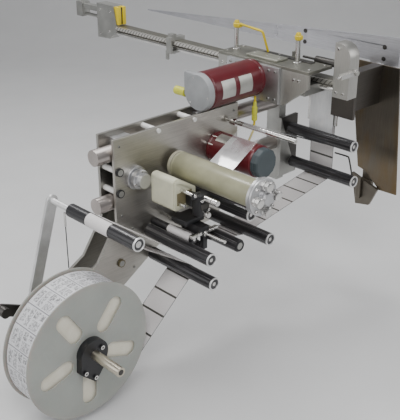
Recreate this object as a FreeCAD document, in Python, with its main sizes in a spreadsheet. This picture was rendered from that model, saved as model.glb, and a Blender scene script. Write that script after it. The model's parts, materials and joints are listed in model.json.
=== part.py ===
import FreeCAD, Part
import math
import os
import Sketcher

# Cross web labeler, in millimetres.
# Sizes are written in plate axes: the origin is the lower left corner of the front plate on its near face,
# X runs to the right along the plate, Y runs away from the viewer and Z points up.
# Every placement then moves the part so that the centre of the frame bolts is the origin.

SIZES = {
    # Clearances
    "running_fit": 0.05,
    "face_gap": 0.3,
    "web_gap": 0.3,
    # Arm plate and its bolt pattern
    "arm_x": 1000,
    "arm_thick": 6,
    "mount_y": -53.5,
    "mount_spacing_y": 343,
    "mount_z": 377,
    "mount_spacing_z": 40,
    "mount_hole_radius": 4.5,
    "far_hole_y": 256,
    "far_hole_z": 373,
    "far_hole_spacing": 30,
    # Side panel and standoffs
    "panel_x": 960,
    "panel_thick": 6,
    "standoff_radius": 12.5,
    "standoff_y": -235,
    "standoff_spacing_y": 70,
    "standoff_z": 300,
    "standoff_spacing_z": 50,
    # Cross bracket tube
    "bracket_near_y": -250,
    "bracket_wide": 38,
    "bracket_low_z": 217,
    "bracket_tall": 131,
    "bracket_flange_near_y": -300,
    "bracket_flange_thick": 12,
    "bracket_wall": 5,
    # End block
    "block_x": 690,
    "block_wide": 48,
    "block_near_y": -307,
    "block_far_y": -248,
    "block_low_z": 296,
    "block_top_z": 470,
    "block_round": 45,
    # Rack beam, rack and guide shafts
    "beam_x": 696,
    "beam_wide": 39,
    "beam_low_z": 330,
    "beam_tall": 18,
    "rack_wide": 12,
    "rack_top_z": 347,
    "gear_module": 2,
    "gear_backlash": 0.5,
    "shaft_x": 702,
    "shaft_spacing": 25,
    "shaft_z": 318,
    "shaft_radius": 9,
    "shaft_near_y": -300,
    "shaft_far_y": 890,
    # Far end block, bumper and stay
    "bumper_thick": 10,
    "bumper_wide": 40,
    "bumper_low_z": 352,
    "bumper_high_z": 422,
    "stay_wide": 28,
    "stay_low_z": 385,
    "stay_tall": 20,
    "stay_far_y": 1060,
    "stay_rod_radius": 7,
    "stay_rod_z": 362,
    "stay_block_wide": 40,
    "stay_block_long": 40,
    "stay_block_low_z": 352,
    "stay_block_tall": 60,
    "stay_knob_radius": 5,
    "stay_knob_tall": 34,
    # Stop collar and latch
    "collar_y": 491,
    "collar_long": 26,
    "collar_wall": 9,
    "collar_side_gap": 1.3,
    "collar_top": 12,
    "collar_ear_wide": 20,
    "collar_ear_tall": 12,
    "latch_pin_radius": 3,
    "latch_wide": 8.7,
    "latch_deep": 12,
    "latch_tall": 34,
    "latch_pin_drop": 6,
    "latch_pin_z": 296,
    "latch_reach": 18,
    "lug_wide": 12,
    "lug_tall": 12,
    # Lower bracket and its post
    "lower_bracket_thick": 12,
    "lower_tab_y": -250,
    "lower_tab_wide": 45,
    "lower_tab_low_z": -100,
    "lower_tab_tall": 100,
    "lower_pad_tall": 25,
    "post_foot_radius": 10,
    "post_foot_y": -210,
    "post_foot_low_z": -145,
    "post_foot_tall": 78,
    "post_foot_seat": 2,
    # Shock absorber and striker
    "absorber_x": 752,
    "absorber_z": 383,
    "absorber_radius": 12.5,
    "absorber_long": 118,
    "absorber_rod_radius": 4,
    "absorber_rod_long": 55,
    "absorber_lug_side": 28,
    "absorber_lug_thick": 14,
    "striker_gap": 23,
    "striker_thick": 8,
    "striker_wide": 34,
    "striker_tall": 28,
    # Clamp lever
    "lever_pin_x": 709,
    "lever_z": 383,
    "lever_pin_radius": 5,
    "lever_head_radius": 8,
    "lever_reach": 76,
    "lever_deep": 14,
    "lever_tall": 14,
    "lever_eye_radius": 11,
    # Carriage
    "side_x": 616,
    "side_thick": 10,
    "shelf_far_x": 790,
    "shelf_near_y": -20,
    "shelf_far_y": 80,
    "shelf_low_z": 284,
    "shelf_tall": 12,
    "top_plate_wide": 120,
    "top_plate_near_y": -208,
    "top_plate_far_y": 185,
    "top_plate_z": 370,
    "top_plate_thick": 10,
    "bearing_wide": 116,
    "bearing_long": 70,
    "bearing_near_y": -190,
    "bearing_far_y": 60,
    "bearing_top_z": 328.5,
    # Traverse motor
    "motor_y": 18,
    "motor_z": 323,
    "motor_radius": 61,
    "motor_long": 232,
    "motor_cap_long": 20.5,
    "motor_cap_side": 77,
    "motor_flange_thick": 12,
    "motor_flange_wide": 230,
    "motor_flange_tall": 120,
    "motor_flange_low_z": 253,
    "motor_shaft_radius": 5,
    "motor_shaft_tail": 1,
    "pinion_teeth": 12,
    "pinion_wide": 7,
    "gland_x": 362,
    "gland_z": 308,
    "gland_radius": 14,
    "gland_long": 45,
    # Edge sensors on the top plate
    "sensor_post_radius": 8,
    "sensor_post_tall": 71,
    "sensor_foot_radius": 14,
    "sensor_foot_tall": 4,
    "sensor_cap_radius": 12,
    "sensor_cap_tall": 25,
    "sensor_far_x": 676,
    "sensor_far_y": 158,
    "sensor_near_x": 682,
    "sensor_near_y": -107,
    # Hanger post, bars and clamps
    "post_x": 745,
    "post_long": 35,
    "post_wide": 56,
    "post_low_z": -85,
    "roller_plate_long": 90,
    "roller_plate_thick": 12,
    "roller_plate_low_z": -70,
    "roller_plate_tall": 220,
    "bar_radius": 25,
    "bar_left_x": -45,
    "bar_high_z": 206,
    "bar_low_z": 52,
    "clamp_long": 60,
    "clamp_tall": 76,
    "clamp_left_x": 40,
    "clamp_right_x": 380,
    # Front and rear plates
    "front_plate_thick": 10,
    "rear_plate_thick": 10,
    "plate_gap": 60,
    "tie_rod_radius": 9,
    "tie_screw_radius": 7,
    "tie_screw_tall": 6,
    # Rollers on the front plate
    "roller_near_y": -285,
    "roller_far_y": -8,
    "roller_radius": 20,
    "axle_radius": 6,
    "axle_inset": 3,
    "ring_radius": 16,
    "ring_deep": 6,
    "infeed_x": 118.3,
    "infeed_z": -63.3,
    "supply_x": 130.7,
    "supply_z": -147.9,
    "guide_first_x": 237.2,
    "guide_first_z": -60,
    "guide_second_x": 376.6,
    "guide_second_z": -88,
    "guide_third_x": 285,
    "guide_third_z": 27,
    "peel_high_x": 786,
    "peel_high_z": 109.4,
    "peel_low_x": 801,
    "peel_low_z": -20.5,
    "thin_x": 475,
    "thin_z": 210,
    "thin_radius": 8,
    "thin_axle_radius": 4,
    "thin_collar_radius": 12,
    "thin_collar_long": 25,
    "thin_collar_gap": 15,
    "nip_radius": 12.5,
    "nip_axle_radius": 5,
    "nip_long": 183,
    "nip_far_y": -2,
    "nip_open": 1.2,
    "nip_angle": 40,
    # Dancer
    "dancer_x": -151,
    "dancer_z": 86,
    "dancer_arm_thick": 10,
    "dancer_arm_wide": 36,
    "dancer_hub_radius": 35,
    "dancer_gap": 23,
    "dancer_pin_radius": 15,
    "dancer_pin_head_radius": 22.5,
    "dancer_pin_head_long": 6,
    "dancer_shaft_radius": 9,
    "dancer_sleeve_far_y": 13,
    "dancer_weight_x": -355,
    "dancer_weight_z": -200,
    "dancer_weight_radius": 16,
    "dancer_weight_long": 24,
    # Reel
    "reel_x": -257,
    "reel_z": -247,
    "reel_radius": 206,
    "reel_shaft_radius": 14,
    "reel_shaft_near_y": -318,
    "flange_thick": 4,
    "flange_near_y": -182,
    "flange_far_y": -70,
    "slot_near": 60,
    "slot_far": 170,
    "slot_wide": 48,
    "slot_first_angle": 50,
    "core_radius": 38,
    "label_roll_radius": 198,
    "hub_clamp_radius": 46,
    "hub_clamp_thick": 23,
    "hub_screw_radius": 6,
    # Rewind drum and motor
    "drum_x": 232,
    "rewind_z": 130,
    "drum_radius": 42,
    "drum_near_y": -355,
    "drum_far_y": -30,
    "drum_collar_long": 14,
    "drum_cap_radius": 56,
    "drum_cap_long": 20,
    "drum_knob_radius": 15,
    "drum_knob_long": 25,
    "drum_knob_pitch": 38,
    "spindle_radius": 10,
    "pulley_radius": 22,
    "pulley_wide": 20,
    "belt_thick": 2,
    "belt_inset": 1,
    "rewind_motor_x": 425,
    "rewind_motor_radius": 52,
    "rewind_motor_long": 188,
    "motor_entry_y": -75,
    "rewind_cap_radius": 49,
    "rewind_cap_long": 27,
    "rewind_shaft_radius": 8,
    # Actuator
    "actuator_x": 75,
    "actuator_z": 126,
    "actuator_hub_radius": 36,
    "actuator_hub_long": 50,
    "housing_long": 95,
    "housing_round": 12,
    "nose_wide": 28,
    "nose_low_z": 58,
    "nose_tall": 42,
    "nose_long": 70,
    "yoke_x": 145,
    "yoke_wide": 40,
    "yoke_low_z": 35,
    "yoke_tall": 70,
    "yoke_thick": 20,
    "yoke_rod_radius": 9,
    "yoke_rod_inset": 10.5,
    "yoke_high_rod_long": 44,
    "yoke_low_rod_long": 12,
    # Label sensor on its rod
    "rod_x": 175,
    "rod_z": -25,
    "rod_radius": 5,
    "label_sensor_wide": 30,
    "label_sensor_long": 90,
    "label_sensor_low_z": -78,
    "label_sensor_high_z": 15,
    "label_sensor_near_y": -200,
    "sensor_slot_low_z": -64,
    "sensor_slot_tall": 30.5,
    "sensor_slot_wall": 15,
    # Peel plate
    "peel_x": 811,
    "peel_thick": 7,
    "peel_near_y": -185,
    "peel_far_y": -62,
    "peel_plate_low_z": 150,
    "peel_plate_high_z": 297,
    "peel_bar_near_y": -71,
    "peel_bar_far_y": 20,
    "peel_bar_low_z": 280,
    "peel_bar_tall": 16,
    "peel_tip_z": 300,
    "peel_tip_radius": 6.5,
    # Web
    "web_near_y": -174,
    "web_wide": 100,
    "web_thick": 0.4,
    # Cables
    "cable_radius": 4,
    "cable_bend": 24,
    "motor_cable_x": 590,
    "motor_cable_y": -11,
    "sensor_cable_x": 690,
    "sensor_cable_y": 53,
}

# Outlines, as points in the plane of each plate: along the plate, then up.
OUTLINES = {
    "arm_plate": [(1000, 343), (1000, 348), (-285, 438.5), (-285, 250), (-170, 250), (-170, 343)],
    "side_panel": [
        (-150, 348), (-317, 348), (-353, -98), (-282, -100), (-221, -45), (-185, -36), (-150, 180)
    ],
    "far_block": [(955, 424), (848, 424), (832, 350), (832, 325), (877, 290), (955, 286)],
    "lower_bracket": [(-171.5, -60), (-283, -96), (-252, -165), (-196, -175)],
    "carriage_side": [(185, 370), (-208, 370), (-210, 326), (-112, 252), (145, 252), (185, 300)],
    "plate": [
        (0, 0), (0, 260), (520, 260), (520, 30), (440, -60), (440, -125), (180, -125), (120, -161),
        (14, -225), (-60, -262), (-235, -300), (-285, -300), (-310, -270), (-310, -225), (-285, -195),
        (-150, -150), (-77, -110),
    ],
    "housing": [(97, 51), (187, 51), (187, 108), (120, 150), (97, 150)],
    "hub_lobe": [(-45, 5), (-49, -46), (-2, -90), (41, -36)],
    "tie_rods": [(171, 248), (321, 248), (17, 157), (17, 89), (8, -141), (490, 128), (400, -100)],
    "hub_screws": [(24, 15), (-4, -72), (-36, -44), (22, -28)],
}

doc = FreeCAD.newDocument("cross_web_labeler")
sheet = doc.addObject("Spreadsheet::Sheet", "Dims")
numbers = dict(SIZES)
for outline_name, corners in OUTLINES.items():
    for corner_index, (along, up) in enumerate(corners, 1):
        numbers["%s_along%d" % (outline_name, corner_index)] = along
        numbers["%s_up%d" % (outline_name, corner_index)] = up
for row, (alias, number) in enumerate(numbers.items(), 1):
    sheet.set("A%d" % row, alias)
    sheet.set("B%d" % row, str(number))
    sheet.setAlias("B%d" % row, alias)
doc.recompute()


class Size:
    """A size with its number and the sheet formula that gives the same number."""

    def __init__(self, number, formula):
        self.number = number
        self.formula = formula

    def __add__(self, other):
        other = as_size(other)
        return Size(self.number + other.number, "(%s + %s)" % (self.formula, other.formula))

    def __sub__(self, other):
        other = as_size(other)
        return Size(self.number - other.number, "(%s - %s)" % (self.formula, other.formula))

    def __mul__(self, other):
        other = as_size(other)
        return Size(self.number * other.number, "(%s * %s)" % (self.formula, other.formula))

    def __truediv__(self, other):
        other = as_size(other)
        return Size(self.number / other.number, "(%s / %s)" % (self.formula, other.formula))

    def __neg__(self):
        return Size(-self.number, "(0 - %s)" % self.formula)


def as_size(value):
    """Turn a plain number into a Size, and leave a Size as it is."""
    if isinstance(value, Size):
        return value
    return Size(value, "(%s)" % value)


class Sheet:
    """Reads a size of the spreadsheet by its alias."""

    def __getattr__(self, alias):
        return Size(float(getattr(sheet, alias)), "Dims." + alias)


D = Sheet()
ZERO = as_size(0)


def outline(name):
    """The named outline as pairs of sizes."""
    count = len(OUTLINES[name])
    return [
        (getattr(D, "%s_along%d" % (name, index)), getattr(D, "%s_up%d" % (name, index)))
        for index in range(1, count + 1)
    ]


# The origin of the finished part
DATUM = (D.arm_x + D.arm_thick, D.mount_y, D.mount_z)

Vector = FreeCAD.Vector
UPRIGHT = FreeCAD.Rotation()
TURNS = {
    "X": FreeCAD.Rotation(Vector(0, 1, 0), 90),
    "Y": FreeCAD.Rotation(Vector(1, 0, 0), -90),
    "Z": UPRIGHT,
}
PLANES = {"XY": "XY_Plane", "XZ": "XZ_Plane", "YZ": "YZ_Plane"}

# Shares that hold for any size of the part
ROOT_DEPTH = 1.25
SLOT_ROUND_SHARE = 0.49
DRUM_WRAP_REACH = 4

subparts = []


def keep(feature, label):
    """Mark a feature as a sub-part of the labeler under its own name."""
    feature.Label = label
    subparts.append(feature)
    return feature


def place(feature, point, turn=UPRIGHT):
    """Place a feature at a point in plate axes."""
    feature.Placement = FreeCAD.Placement(Vector(0, 0, 0), turn)
    for letter, value, datum in zip("xyz", point, DATUM):
        feature.setExpression("Placement.Base." + letter, (as_size(value) - datum).formula)
    return feature


def box(name, low, lengths):
    """A box from its low corner and its three lengths."""
    feature = doc.addObject("Part::Box", name)
    for side, value in zip(("Length", "Width", "Height"), lengths):
        feature.setExpression(side, as_size(value).formula)
    return place(feature, low)


def cylinder(name, axis, start, radius, length):
    """A cylinder that runs from its start along an axis."""
    feature = doc.addObject("Part::Cylinder", name)
    feature.setExpression("Radius", as_size(radius).formula)
    feature.setExpression("Height", as_size(length).formula)
    return place(feature, start, TURNS[axis])


def fuse(name, solids):
    """One solid made of several."""
    feature = doc.addObject("Part::MultiFuse", name)
    feature.Shapes = solids
    feature.Refine = True
    return feature


def group(name, solids):
    """Several separate solids in one sub-part."""
    feature = doc.addObject("Part::Compound", name)
    feature.Links = solids
    return feature


def cut(name, base, tools):
    """A solid with one or more tools taken out of it."""
    tool = tools[0]
    if len(tools) > 1:
        tool = fuse(name + "_tools", tools)
    feature = doc.addObject("Part::Cut", name)
    feature.Base = base
    feature.Tool = tool
    return feature


def body_plane(body, plane):
    """The origin plane of a body."""
    return [item for item in body.Origin.OriginFeatures if item.Role == PLANES[plane]][0]


def prism(name, plane, corners, point, depth, holes=(), turn=UPRIGHT):
    """A padded sketch. On plane XZ the pad runs towards the viewer from the point, else along its normal."""
    body = doc.addObject("PartDesign::Body", name)
    sketch = body.newObject("Sketcher::SketchObject", name + "_sketch")
    sketch.AttachmentSupport = [(body_plane(body, plane), "")]
    sketch.MapMode = "FlatFace"
    corners = [(as_size(along), as_size(up)) for along, up in corners]
    spots = [Vector(along.number, up.number, 0) for along, up in corners]
    count = len(spots)
    for index in range(count):
        sketch.addGeometry(Part.LineSegment(spots[index], spots[(index + 1) % count]), False)
    for index in range(count):
        sketch.addConstraint(Sketcher.Constraint("Coincident", index, 2, (index + 1) % count, 1))
    for index, pair in enumerate(corners):
        for kind, value in zip(("DistanceX", "DistanceY"), pair):
            number = sketch.addConstraint(Sketcher.Constraint(kind, -1, 1, index, 1, value.number))
            sketch.setExpression("Constraints[%d]" % number, value.formula)
    for along, up, radius in holes:
        along, up, radius = as_size(along), as_size(up), as_size(radius)
        circle = Part.Circle(Vector(along.number, up.number, 0), Vector(0, 0, 1), radius.number)
        index = sketch.addGeometry(circle, False)
        for kind, value in (("DistanceX", along), ("DistanceY", up)):
            number = sketch.addConstraint(Sketcher.Constraint(kind, -1, 1, index, 3, value.number))
            sketch.setExpression("Constraints[%d]" % number, value.formula)
        number = sketch.addConstraint(Sketcher.Constraint("Radius", index, radius.number))
        sketch.setExpression("Constraints[%d]" % number, radius.formula)
    pad = body.newObject("PartDesign::Pad", name + "_pad")
    pad.Profile = sketch
    pad.setExpression("Length", as_size(depth).formula)
    sketch.Visibility = False
    return place(body, point, turn)


def round_corners(body, plane, corners, radius):
    """Fillet the edges of a padded sketch that stand on some of its corners."""
    doc.recompute()
    pad = body.Tip
    first, second = {"XY": (0, 1), "XZ": (0, 2), "YZ": (1, 2)}[plane]
    names = []
    for index, edge in enumerate(pad.Shape.Edges, 1):
        for along, up in corners:
            spot = (as_size(along).number, as_size(up).number)
            ends = [(v.Point[first], v.Point[second]) for v in edge.Vertexes]
            if len(ends) == 2 and all(math.dist(end, spot) < 0.01 for end in ends):
                names.append("Edge%d" % index)
    fillet = body.newObject("PartDesign::Fillet", body.Name + "_fillet")
    fillet.Base = (pad, names)
    fillet.setExpression("Radius", as_size(radius).formula)
    return body


def shape_feature(name, shape):
    """A feature with a shape made from the sheet's numbers in plate axes."""
    feature = doc.addObject("Part::Feature", name)
    feature.Shape = shape
    return place(feature, (0, 0, 0))


def rectangle(along, up, wide, tall):
    """Corners of a rectangle from its low corner."""
    return [(along, up), (along + wide, up), (along + wide, up + tall), (along, up + tall)]


def extruded(points, x_or_y, low, long):
    """A flat outline of numbers, extruded along X or Y from a low value."""
    if x_or_y == "X":
        spots = [Vector(low, along, up) for along, up in points]
        way = Vector(long, 0, 0)
    else:
        spots = [Vector(along, low, up) for along, up in points]
        way = Vector(0, long, 0)
    return Part.Face(Part.makePolygon(spots + spots[:1])).extrude(way)


def arm_plate():
    holes = []
    for side in (-1, 1):
        for level in (-1, 1):
            holes.append((
                D.mount_y + D.mount_spacing_y * side / 2,
                D.mount_z + D.mount_spacing_z * level / 2,
                D.mount_hole_radius,
            ))
    for level in (-1, 1):
        holes.append((D.far_hole_y, D.far_hole_z + D.far_hole_spacing * level / 2, D.mount_hole_radius))
    keep(prism("arm", "YZ", outline("arm_plate"), (D.arm_x, 0, 0), D.arm_thick, holes), "frame_arm_plate")


def side_panel():
    keep(prism("panel", "YZ", outline("side_panel"), (D.panel_x, 0, 0), D.panel_thick), "side_panel")
    start = D.panel_x + D.panel_thick
    standoffs = []
    for side in (-1, 1):
        for level in (-1, 1):
            spot = (
                start,
                D.standoff_y + D.standoff_spacing_y * side / 2,
                D.standoff_z + D.standoff_spacing_z * level / 2,
            )
            name = "standoff%d%d" % (side + 1, level + 1)
            standoffs.append(cylinder(name, "X", spot, D.standoff_radius, D.arm_x - start))
    keep(group("standoffs", standoffs), "panel_spacers")


def cross_bracket():
    plate_x = D.block_x + D.block_wide
    plate_far = D.bracket_near_y + D.bracket_wide
    plate = box("bracket_flange", (plate_x, D.bracket_flange_near_y, D.bracket_low_z),
                (D.bracket_flange_thick, plate_far - D.bracket_flange_near_y, D.bracket_tall))
    start = plate_x + D.bracket_flange_thick
    long = D.panel_x - start
    low = (start, D.bracket_near_y, D.bracket_low_z)
    outer = box("bracket_outer", low, (long, D.bracket_wide, D.bracket_tall))
    wall = D.bracket_wall
    inner = box(
        "bracket_inner",
        (start, D.bracket_near_y + wall, D.bracket_low_z + wall),
        (long, D.bracket_wide - wall * 2, D.bracket_tall - wall * 2),
    )
    tube = cut("bracket_tube", outer, [inner])
    keep(fuse("bracket", [plate, tube]), "cross_bracket")


def shaft_tools(name):
    """The two guide shafts as solids."""
    shafts = []
    for index in range(2):
        spot = (D.shaft_x + D.shaft_spacing * index, D.shaft_near_y, D.shaft_z)
        shafts.append(cylinder("%s%d" % (name, index), "Y", spot, D.shaft_radius,
                               D.shaft_far_y - D.shaft_near_y))
    return shafts


def end_block():
    wide = D.block_far_y - D.block_near_y
    corners = rectangle(D.block_near_y, D.block_low_z, wide, D.block_top_z - D.block_low_z)
    body = prism("end_body", "YZ", corners, (D.block_x, 0, 0), D.block_wide)
    round_corners(body, "YZ", [(D.block_near_y, D.block_top_z)], D.block_round)
    side = D.absorber_lug_side
    lug = box(
        "absorber_lug",
        (D.block_x + D.block_wide, D.block_far_y - D.absorber_lug_thick, D.absorber_z - side / 2),
        (side, D.absorber_lug_thick, side),
    )
    pin_long = D.lever_deep + D.face_gap * 2
    pin = cylinder("lever_pin", "Y", (D.lever_pin_x, D.block_near_y - pin_long, D.lever_z),
                   D.lever_pin_radius, pin_long)
    head_thick = D.lever_pin_radius
    head = cylinder("lever_pin_head", "Y", (D.lever_pin_x, D.block_near_y - pin_long - head_thick, D.lever_z),
                    D.lever_head_radius, head_thick)
    solid = fuse("end_solid", [body, lug, pin, head])
    keep(cut("end_bored", solid, shaft_tools("end_bore")), "end_block")


def rack_beam():
    long = D.far_block_along3 - D.block_far_y
    low = (D.beam_x, D.block_far_y, D.beam_low_z)
    keep(box("beam", low, (D.beam_wide, long, D.beam_tall)), "rack_beam")


def pinion_pitch_radius():
    return D.gear_module * D.pinion_teeth / 2


def rack_shape():
    """A rack with its teeth facing down, in mesh with the pinion at rest."""
    module = D.gear_module.number
    pitch = math.pi * module
    pitch_z = D.motor_z.number + pinion_pitch_radius().number
    tip_z = pitch_z - module
    root_z = pitch_z + ROOT_DEPTH * module
    near = D.block_far_y.number
    far = D.far_block_along3.number
    slope = math.tan(math.radians(20))
    half_pitch_tooth = pitch / 4 - D.gear_backlash.number / 4
    half_tip = half_pitch_tooth - slope * module
    half_root = half_pitch_tooth + slope * ROOT_DEPTH * module
    # A pinion tooth points straight up at rest, so a rack gap lies over the motor axis.
    first = math.ceil((near + half_root - D.motor_y.number) / pitch - 0.5)
    last = math.floor((far - half_root - D.motor_y.number) / pitch - 0.5)
    points = [(near, root_z)]
    for index in range(first, last + 1):
        centre = D.motor_y.number + (index + 0.5) * pitch
        points += [(centre - half_root, root_z), (centre - half_tip, tip_z)]
        points += [(centre + half_tip, tip_z), (centre + half_root, root_z)]
    points += [(far, root_z), (far, D.rack_top_z.number), (near, D.rack_top_z.number)]
    low = D.beam_x.number - D.rack_wide.number
    return extruded(points, "X", low, D.rack_wide.number)


def pinion_shape():
    """A spur gear with involute teeth, one of them pointing straight up."""
    module = D.gear_module.number
    teeth = int(round(D.pinion_teeth.number))
    pitch_radius = module * teeth / 2
    base_radius = pitch_radius * math.cos(math.radians(20))
    root_radius = pitch_radius - ROOT_DEPTH * module
    tip_radius = pitch_radius + module
    involute = math.tan(math.radians(20)) - math.radians(20)
    half_angle = math.pi / (2 * teeth) - D.gear_backlash.number / (4 * pitch_radius)
    steps = 6
    flank = []
    for step in range(steps + 1):
        radius = base_radius + (tip_radius - base_radius) * step / steps
        pressure = math.acos(base_radius / radius)
        flank.append((radius, half_angle + involute - (math.tan(pressure) - pressure)))
    flank.insert(0, (root_radius, flank[0][1]))
    points = []
    for index in range(teeth):
        centre = math.pi / 2 + 2 * math.pi * index / teeth
        turned = [(radius, centre - angle) for radius, angle in flank]
        turned += [(radius, centre + angle) for radius, angle in reversed(flank)]
        for radius, angle in turned:
            points.append((
                D.motor_y.number + radius * math.cos(angle),
                D.motor_z.number + radius * math.sin(angle),
            ))
    low = D.beam_x.number - D.rack_wide.number
    return extruded(points, "X", low, D.pinion_wide.number)


def gear_rack():
    keep(shape_feature("rack", rack_shape()), "gear_rack")


def guide_shafts():
    keep(group("shafts", shaft_tools("shaft")), "guide_shafts")


def far_end_block():
    points = outline("far_block")
    body = prism("far_body", "YZ", points, (D.block_x, 0, 0), D.block_wide)
    bored = cut("far_bored", body, shaft_tools("far_bore"))
    middle = D.block_x + D.block_wide / 2
    far = D.far_block_along1
    strap = box("stay_strap", (middle - D.stay_wide / 2, far, D.stay_low_z),
                (D.stay_wide, D.stay_far_y - far, D.stay_tall))
    rod = cylinder("stay_rod", "Y", (middle, far, D.stay_rod_z), D.stay_rod_radius, D.stay_far_y - far)
    block = box("stay_block", (middle - D.stay_block_wide / 2, D.stay_far_y, D.stay_block_low_z),
                (D.stay_block_wide, D.stay_block_long, D.stay_block_tall))
    knob = cylinder("stay_knob", "Z",
                    (middle, D.stay_far_y + D.stay_block_long / 2, D.stay_block_low_z + D.stay_block_tall),
                    D.stay_knob_radius, D.stay_knob_tall)
    keep(group("far_parts", [bored, strap, rod, block, knob]), "far_end_block")
    # The bumper lies on the slanted near face of the block.
    high_y, high_z = points[1]
    low_y, low_z = points[2]
    slant = (high_y - low_y) / (high_z - low_z)
    face_low = low_y + slant * (D.bumper_low_z - low_z)
    face_high = low_y + slant * (D.bumper_high_z - low_z)
    pad = [
        (face_low, D.bumper_low_z),
        (face_high, D.bumper_high_z),
        (face_high - D.bumper_thick, D.bumper_high_z),
        (face_low - D.bumper_thick, D.bumper_low_z),
    ]
    keep(prism("bumper", "YZ", pad, (middle - D.bumper_wide / 2, 0, 0), D.bumper_wide), "end_bumper")


def stop_collar():
    low_x = D.beam_x - D.rack_wide - D.collar_side_gap
    high_x = D.beam_x + D.beam_wide + D.collar_side_gap
    low_z = D.shaft_z - D.shaft_radius - D.face_gap
    high_z = D.beam_low_z + D.beam_tall
    wall = D.collar_wall
    outer = box("collar_outer", (low_x - wall, D.collar_y, low_z - wall),
                (high_x - low_x + wall * 2, D.collar_long, high_z - low_z + wall + D.collar_top))
    inner = box("collar_inner", (low_x, D.collar_y, low_z), (high_x - low_x, D.collar_long, high_z - low_z))
    ear = box("collar_ear", (low_x, D.collar_y, high_z + D.collar_top),
              (D.collar_ear_wide, D.collar_long, D.collar_ear_tall))
    lug_x = D.beam_x + wall / 2
    lug_far = D.collar_y + D.collar_long + D.latch_reach + D.latch_deep / 2
    lug = box("latch_lug", (lug_x, D.collar_y + D.collar_long / 2, low_z - wall - D.lug_tall / 2),
              (D.lug_wide, lug_far - D.collar_y - D.collar_long / 2, D.lug_tall))
    pin_y = D.collar_y + D.collar_long + D.latch_reach
    pin_long = D.latch_wide + D.face_gap * 2
    pin = cylinder("latch_pin", "X", (lug_x - pin_long, pin_y, D.latch_pin_z), D.latch_pin_radius, pin_long)
    ring = cut("collar_ring", outer, [inner])
    keep(fuse("collar", [ring, ear, lug, pin]), "stop_collar")
    bar = box(
        "latch_bar",
        (lug_x - D.face_gap - D.latch_wide, pin_y - D.latch_deep / 2,
         D.latch_pin_z + D.latch_pin_drop - D.latch_tall),
        (D.latch_wide, D.latch_deep, D.latch_tall),
    )
    bore = cylinder("latch_bore", "X", (lug_x - pin_long, pin_y, D.latch_pin_z),
                    D.latch_pin_radius + D.running_fit, pin_long)
    keep(cut("latch", bar, [bore]), "stop_latch")


def lower_bracket():
    thick = D.lower_bracket_thick
    start = D.panel_x - thick
    web = prism("lower_web", "YZ", outline("lower_bracket"), (start, 0, 0), thick)
    pad = box("lower_pad", (D.panel_x, D.lower_tab_y, D.lower_tab_low_z),
              (D.panel_thick, D.lower_tab_wide, D.lower_pad_tall))
    tab = box("lower_tab", (D.panel_x + D.panel_thick, D.lower_tab_y, D.lower_tab_low_z),
              (D.panel_thick, D.lower_tab_wide, D.lower_tab_tall))
    foot = cylinder("post_foot", "Z",
                    (start - D.post_foot_radius + D.post_foot_seat, D.post_foot_y, D.post_foot_low_z),
                    D.post_foot_radius, D.post_foot_tall)
    keep(fuse("lower", [web, pad, tab, foot]), "lower_bracket")


def shock_absorber():
    barrel = cylinder("absorber_barrel", "Y", (D.absorber_x, D.block_far_y, D.absorber_z),
                      D.absorber_radius, D.absorber_long)
    rod = cylinder("absorber_rod", "Y", (D.absorber_x, D.block_far_y + D.absorber_long, D.absorber_z),
                   D.absorber_rod_radius, D.absorber_rod_long)
    keep(fuse("absorber", [barrel, rod]), "shock_absorber")


def clamp_lever():
    far_y = D.block_near_y - D.face_gap
    eye = cylinder("lever_eye", "Y", (D.lever_pin_x, far_y - D.lever_deep, D.lever_z), D.lever_eye_radius,
                   D.lever_deep)
    bar = box("lever_bar", (D.lever_pin_x - D.lever_reach, far_y - D.lever_deep, D.lever_z - D.lever_tall / 2),
              (D.lever_reach, D.lever_deep, D.lever_tall))
    screw = cylinder("lever_screw", "X",
                     (D.lever_pin_x - D.lever_reach - D.lever_deep, far_y - D.lever_deep / 2, D.lever_z),
                     D.lever_tall / 4, D.lever_deep)
    solid = fuse("lever_solid", [eye, bar, screw])
    bore = cylinder("lever_bore", "Y", (D.lever_pin_x, far_y - D.lever_deep, D.lever_z),
                    D.lever_pin_radius + D.running_fit, D.lever_deep)
    keep(cut("lever", solid, [bore]), "clamp_lever")


def carriage():
    inner_x = D.side_x + D.side_thick
    hole = (D.motor_y, D.motor_z, D.motor_shaft_radius + D.running_fit)
    side = prism("side", "YZ", outline("carriage_side"), (D.side_x, 0, 0), D.side_thick, [hole])
    shelf = box("shelf", (inner_x, D.shelf_near_y, D.shelf_low_z),
                (D.shelf_far_x - inner_x, D.shelf_far_y - D.shelf_near_y, D.shelf_tall))
    keep(fuse("side_shelf", [side, shelf]), "carriage_side")
    top = box("top", (D.side_x, D.top_plate_near_y, D.top_plate_z),
              (D.top_plate_wide, D.top_plate_far_y - D.top_plate_near_y, D.top_plate_thick))
    rod_tip = D.block_far_y + D.absorber_long + D.absorber_rod_long
    striker_x = D.absorber_x + D.absorber_radius - D.striker_wide
    striker = box("striker", (striker_x, rod_tip + D.striker_gap, D.top_plate_z),
                  (D.striker_wide, D.striker_thick, D.striker_tall))
    keep(fuse("top_striker", [top, striker]), "carriage_plate")
    blocks = []
    low_z = D.shelf_low_z + D.shelf_tall
    for index, near in enumerate((D.bearing_near_y, D.bearing_far_y)):
        blank = box("bearing_blank%d" % index, (inner_x, near, low_z),
                    (D.bearing_wide, D.bearing_long, D.bearing_top_z - low_z))
        bores = []
        for shaft in range(2):
            spot = (D.shaft_x + D.shaft_spacing * shaft, near, D.shaft_z)
            bores.append(cylinder("bearing_bore%d%d" % (index, shaft), "Y", spot,
                                  D.shaft_radius + D.running_fit, D.bearing_long))
        blocks.append(cut("bearing%d" % index, blank, bores))
    keep(group("bearings", blocks), "bearing_blocks")


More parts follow.
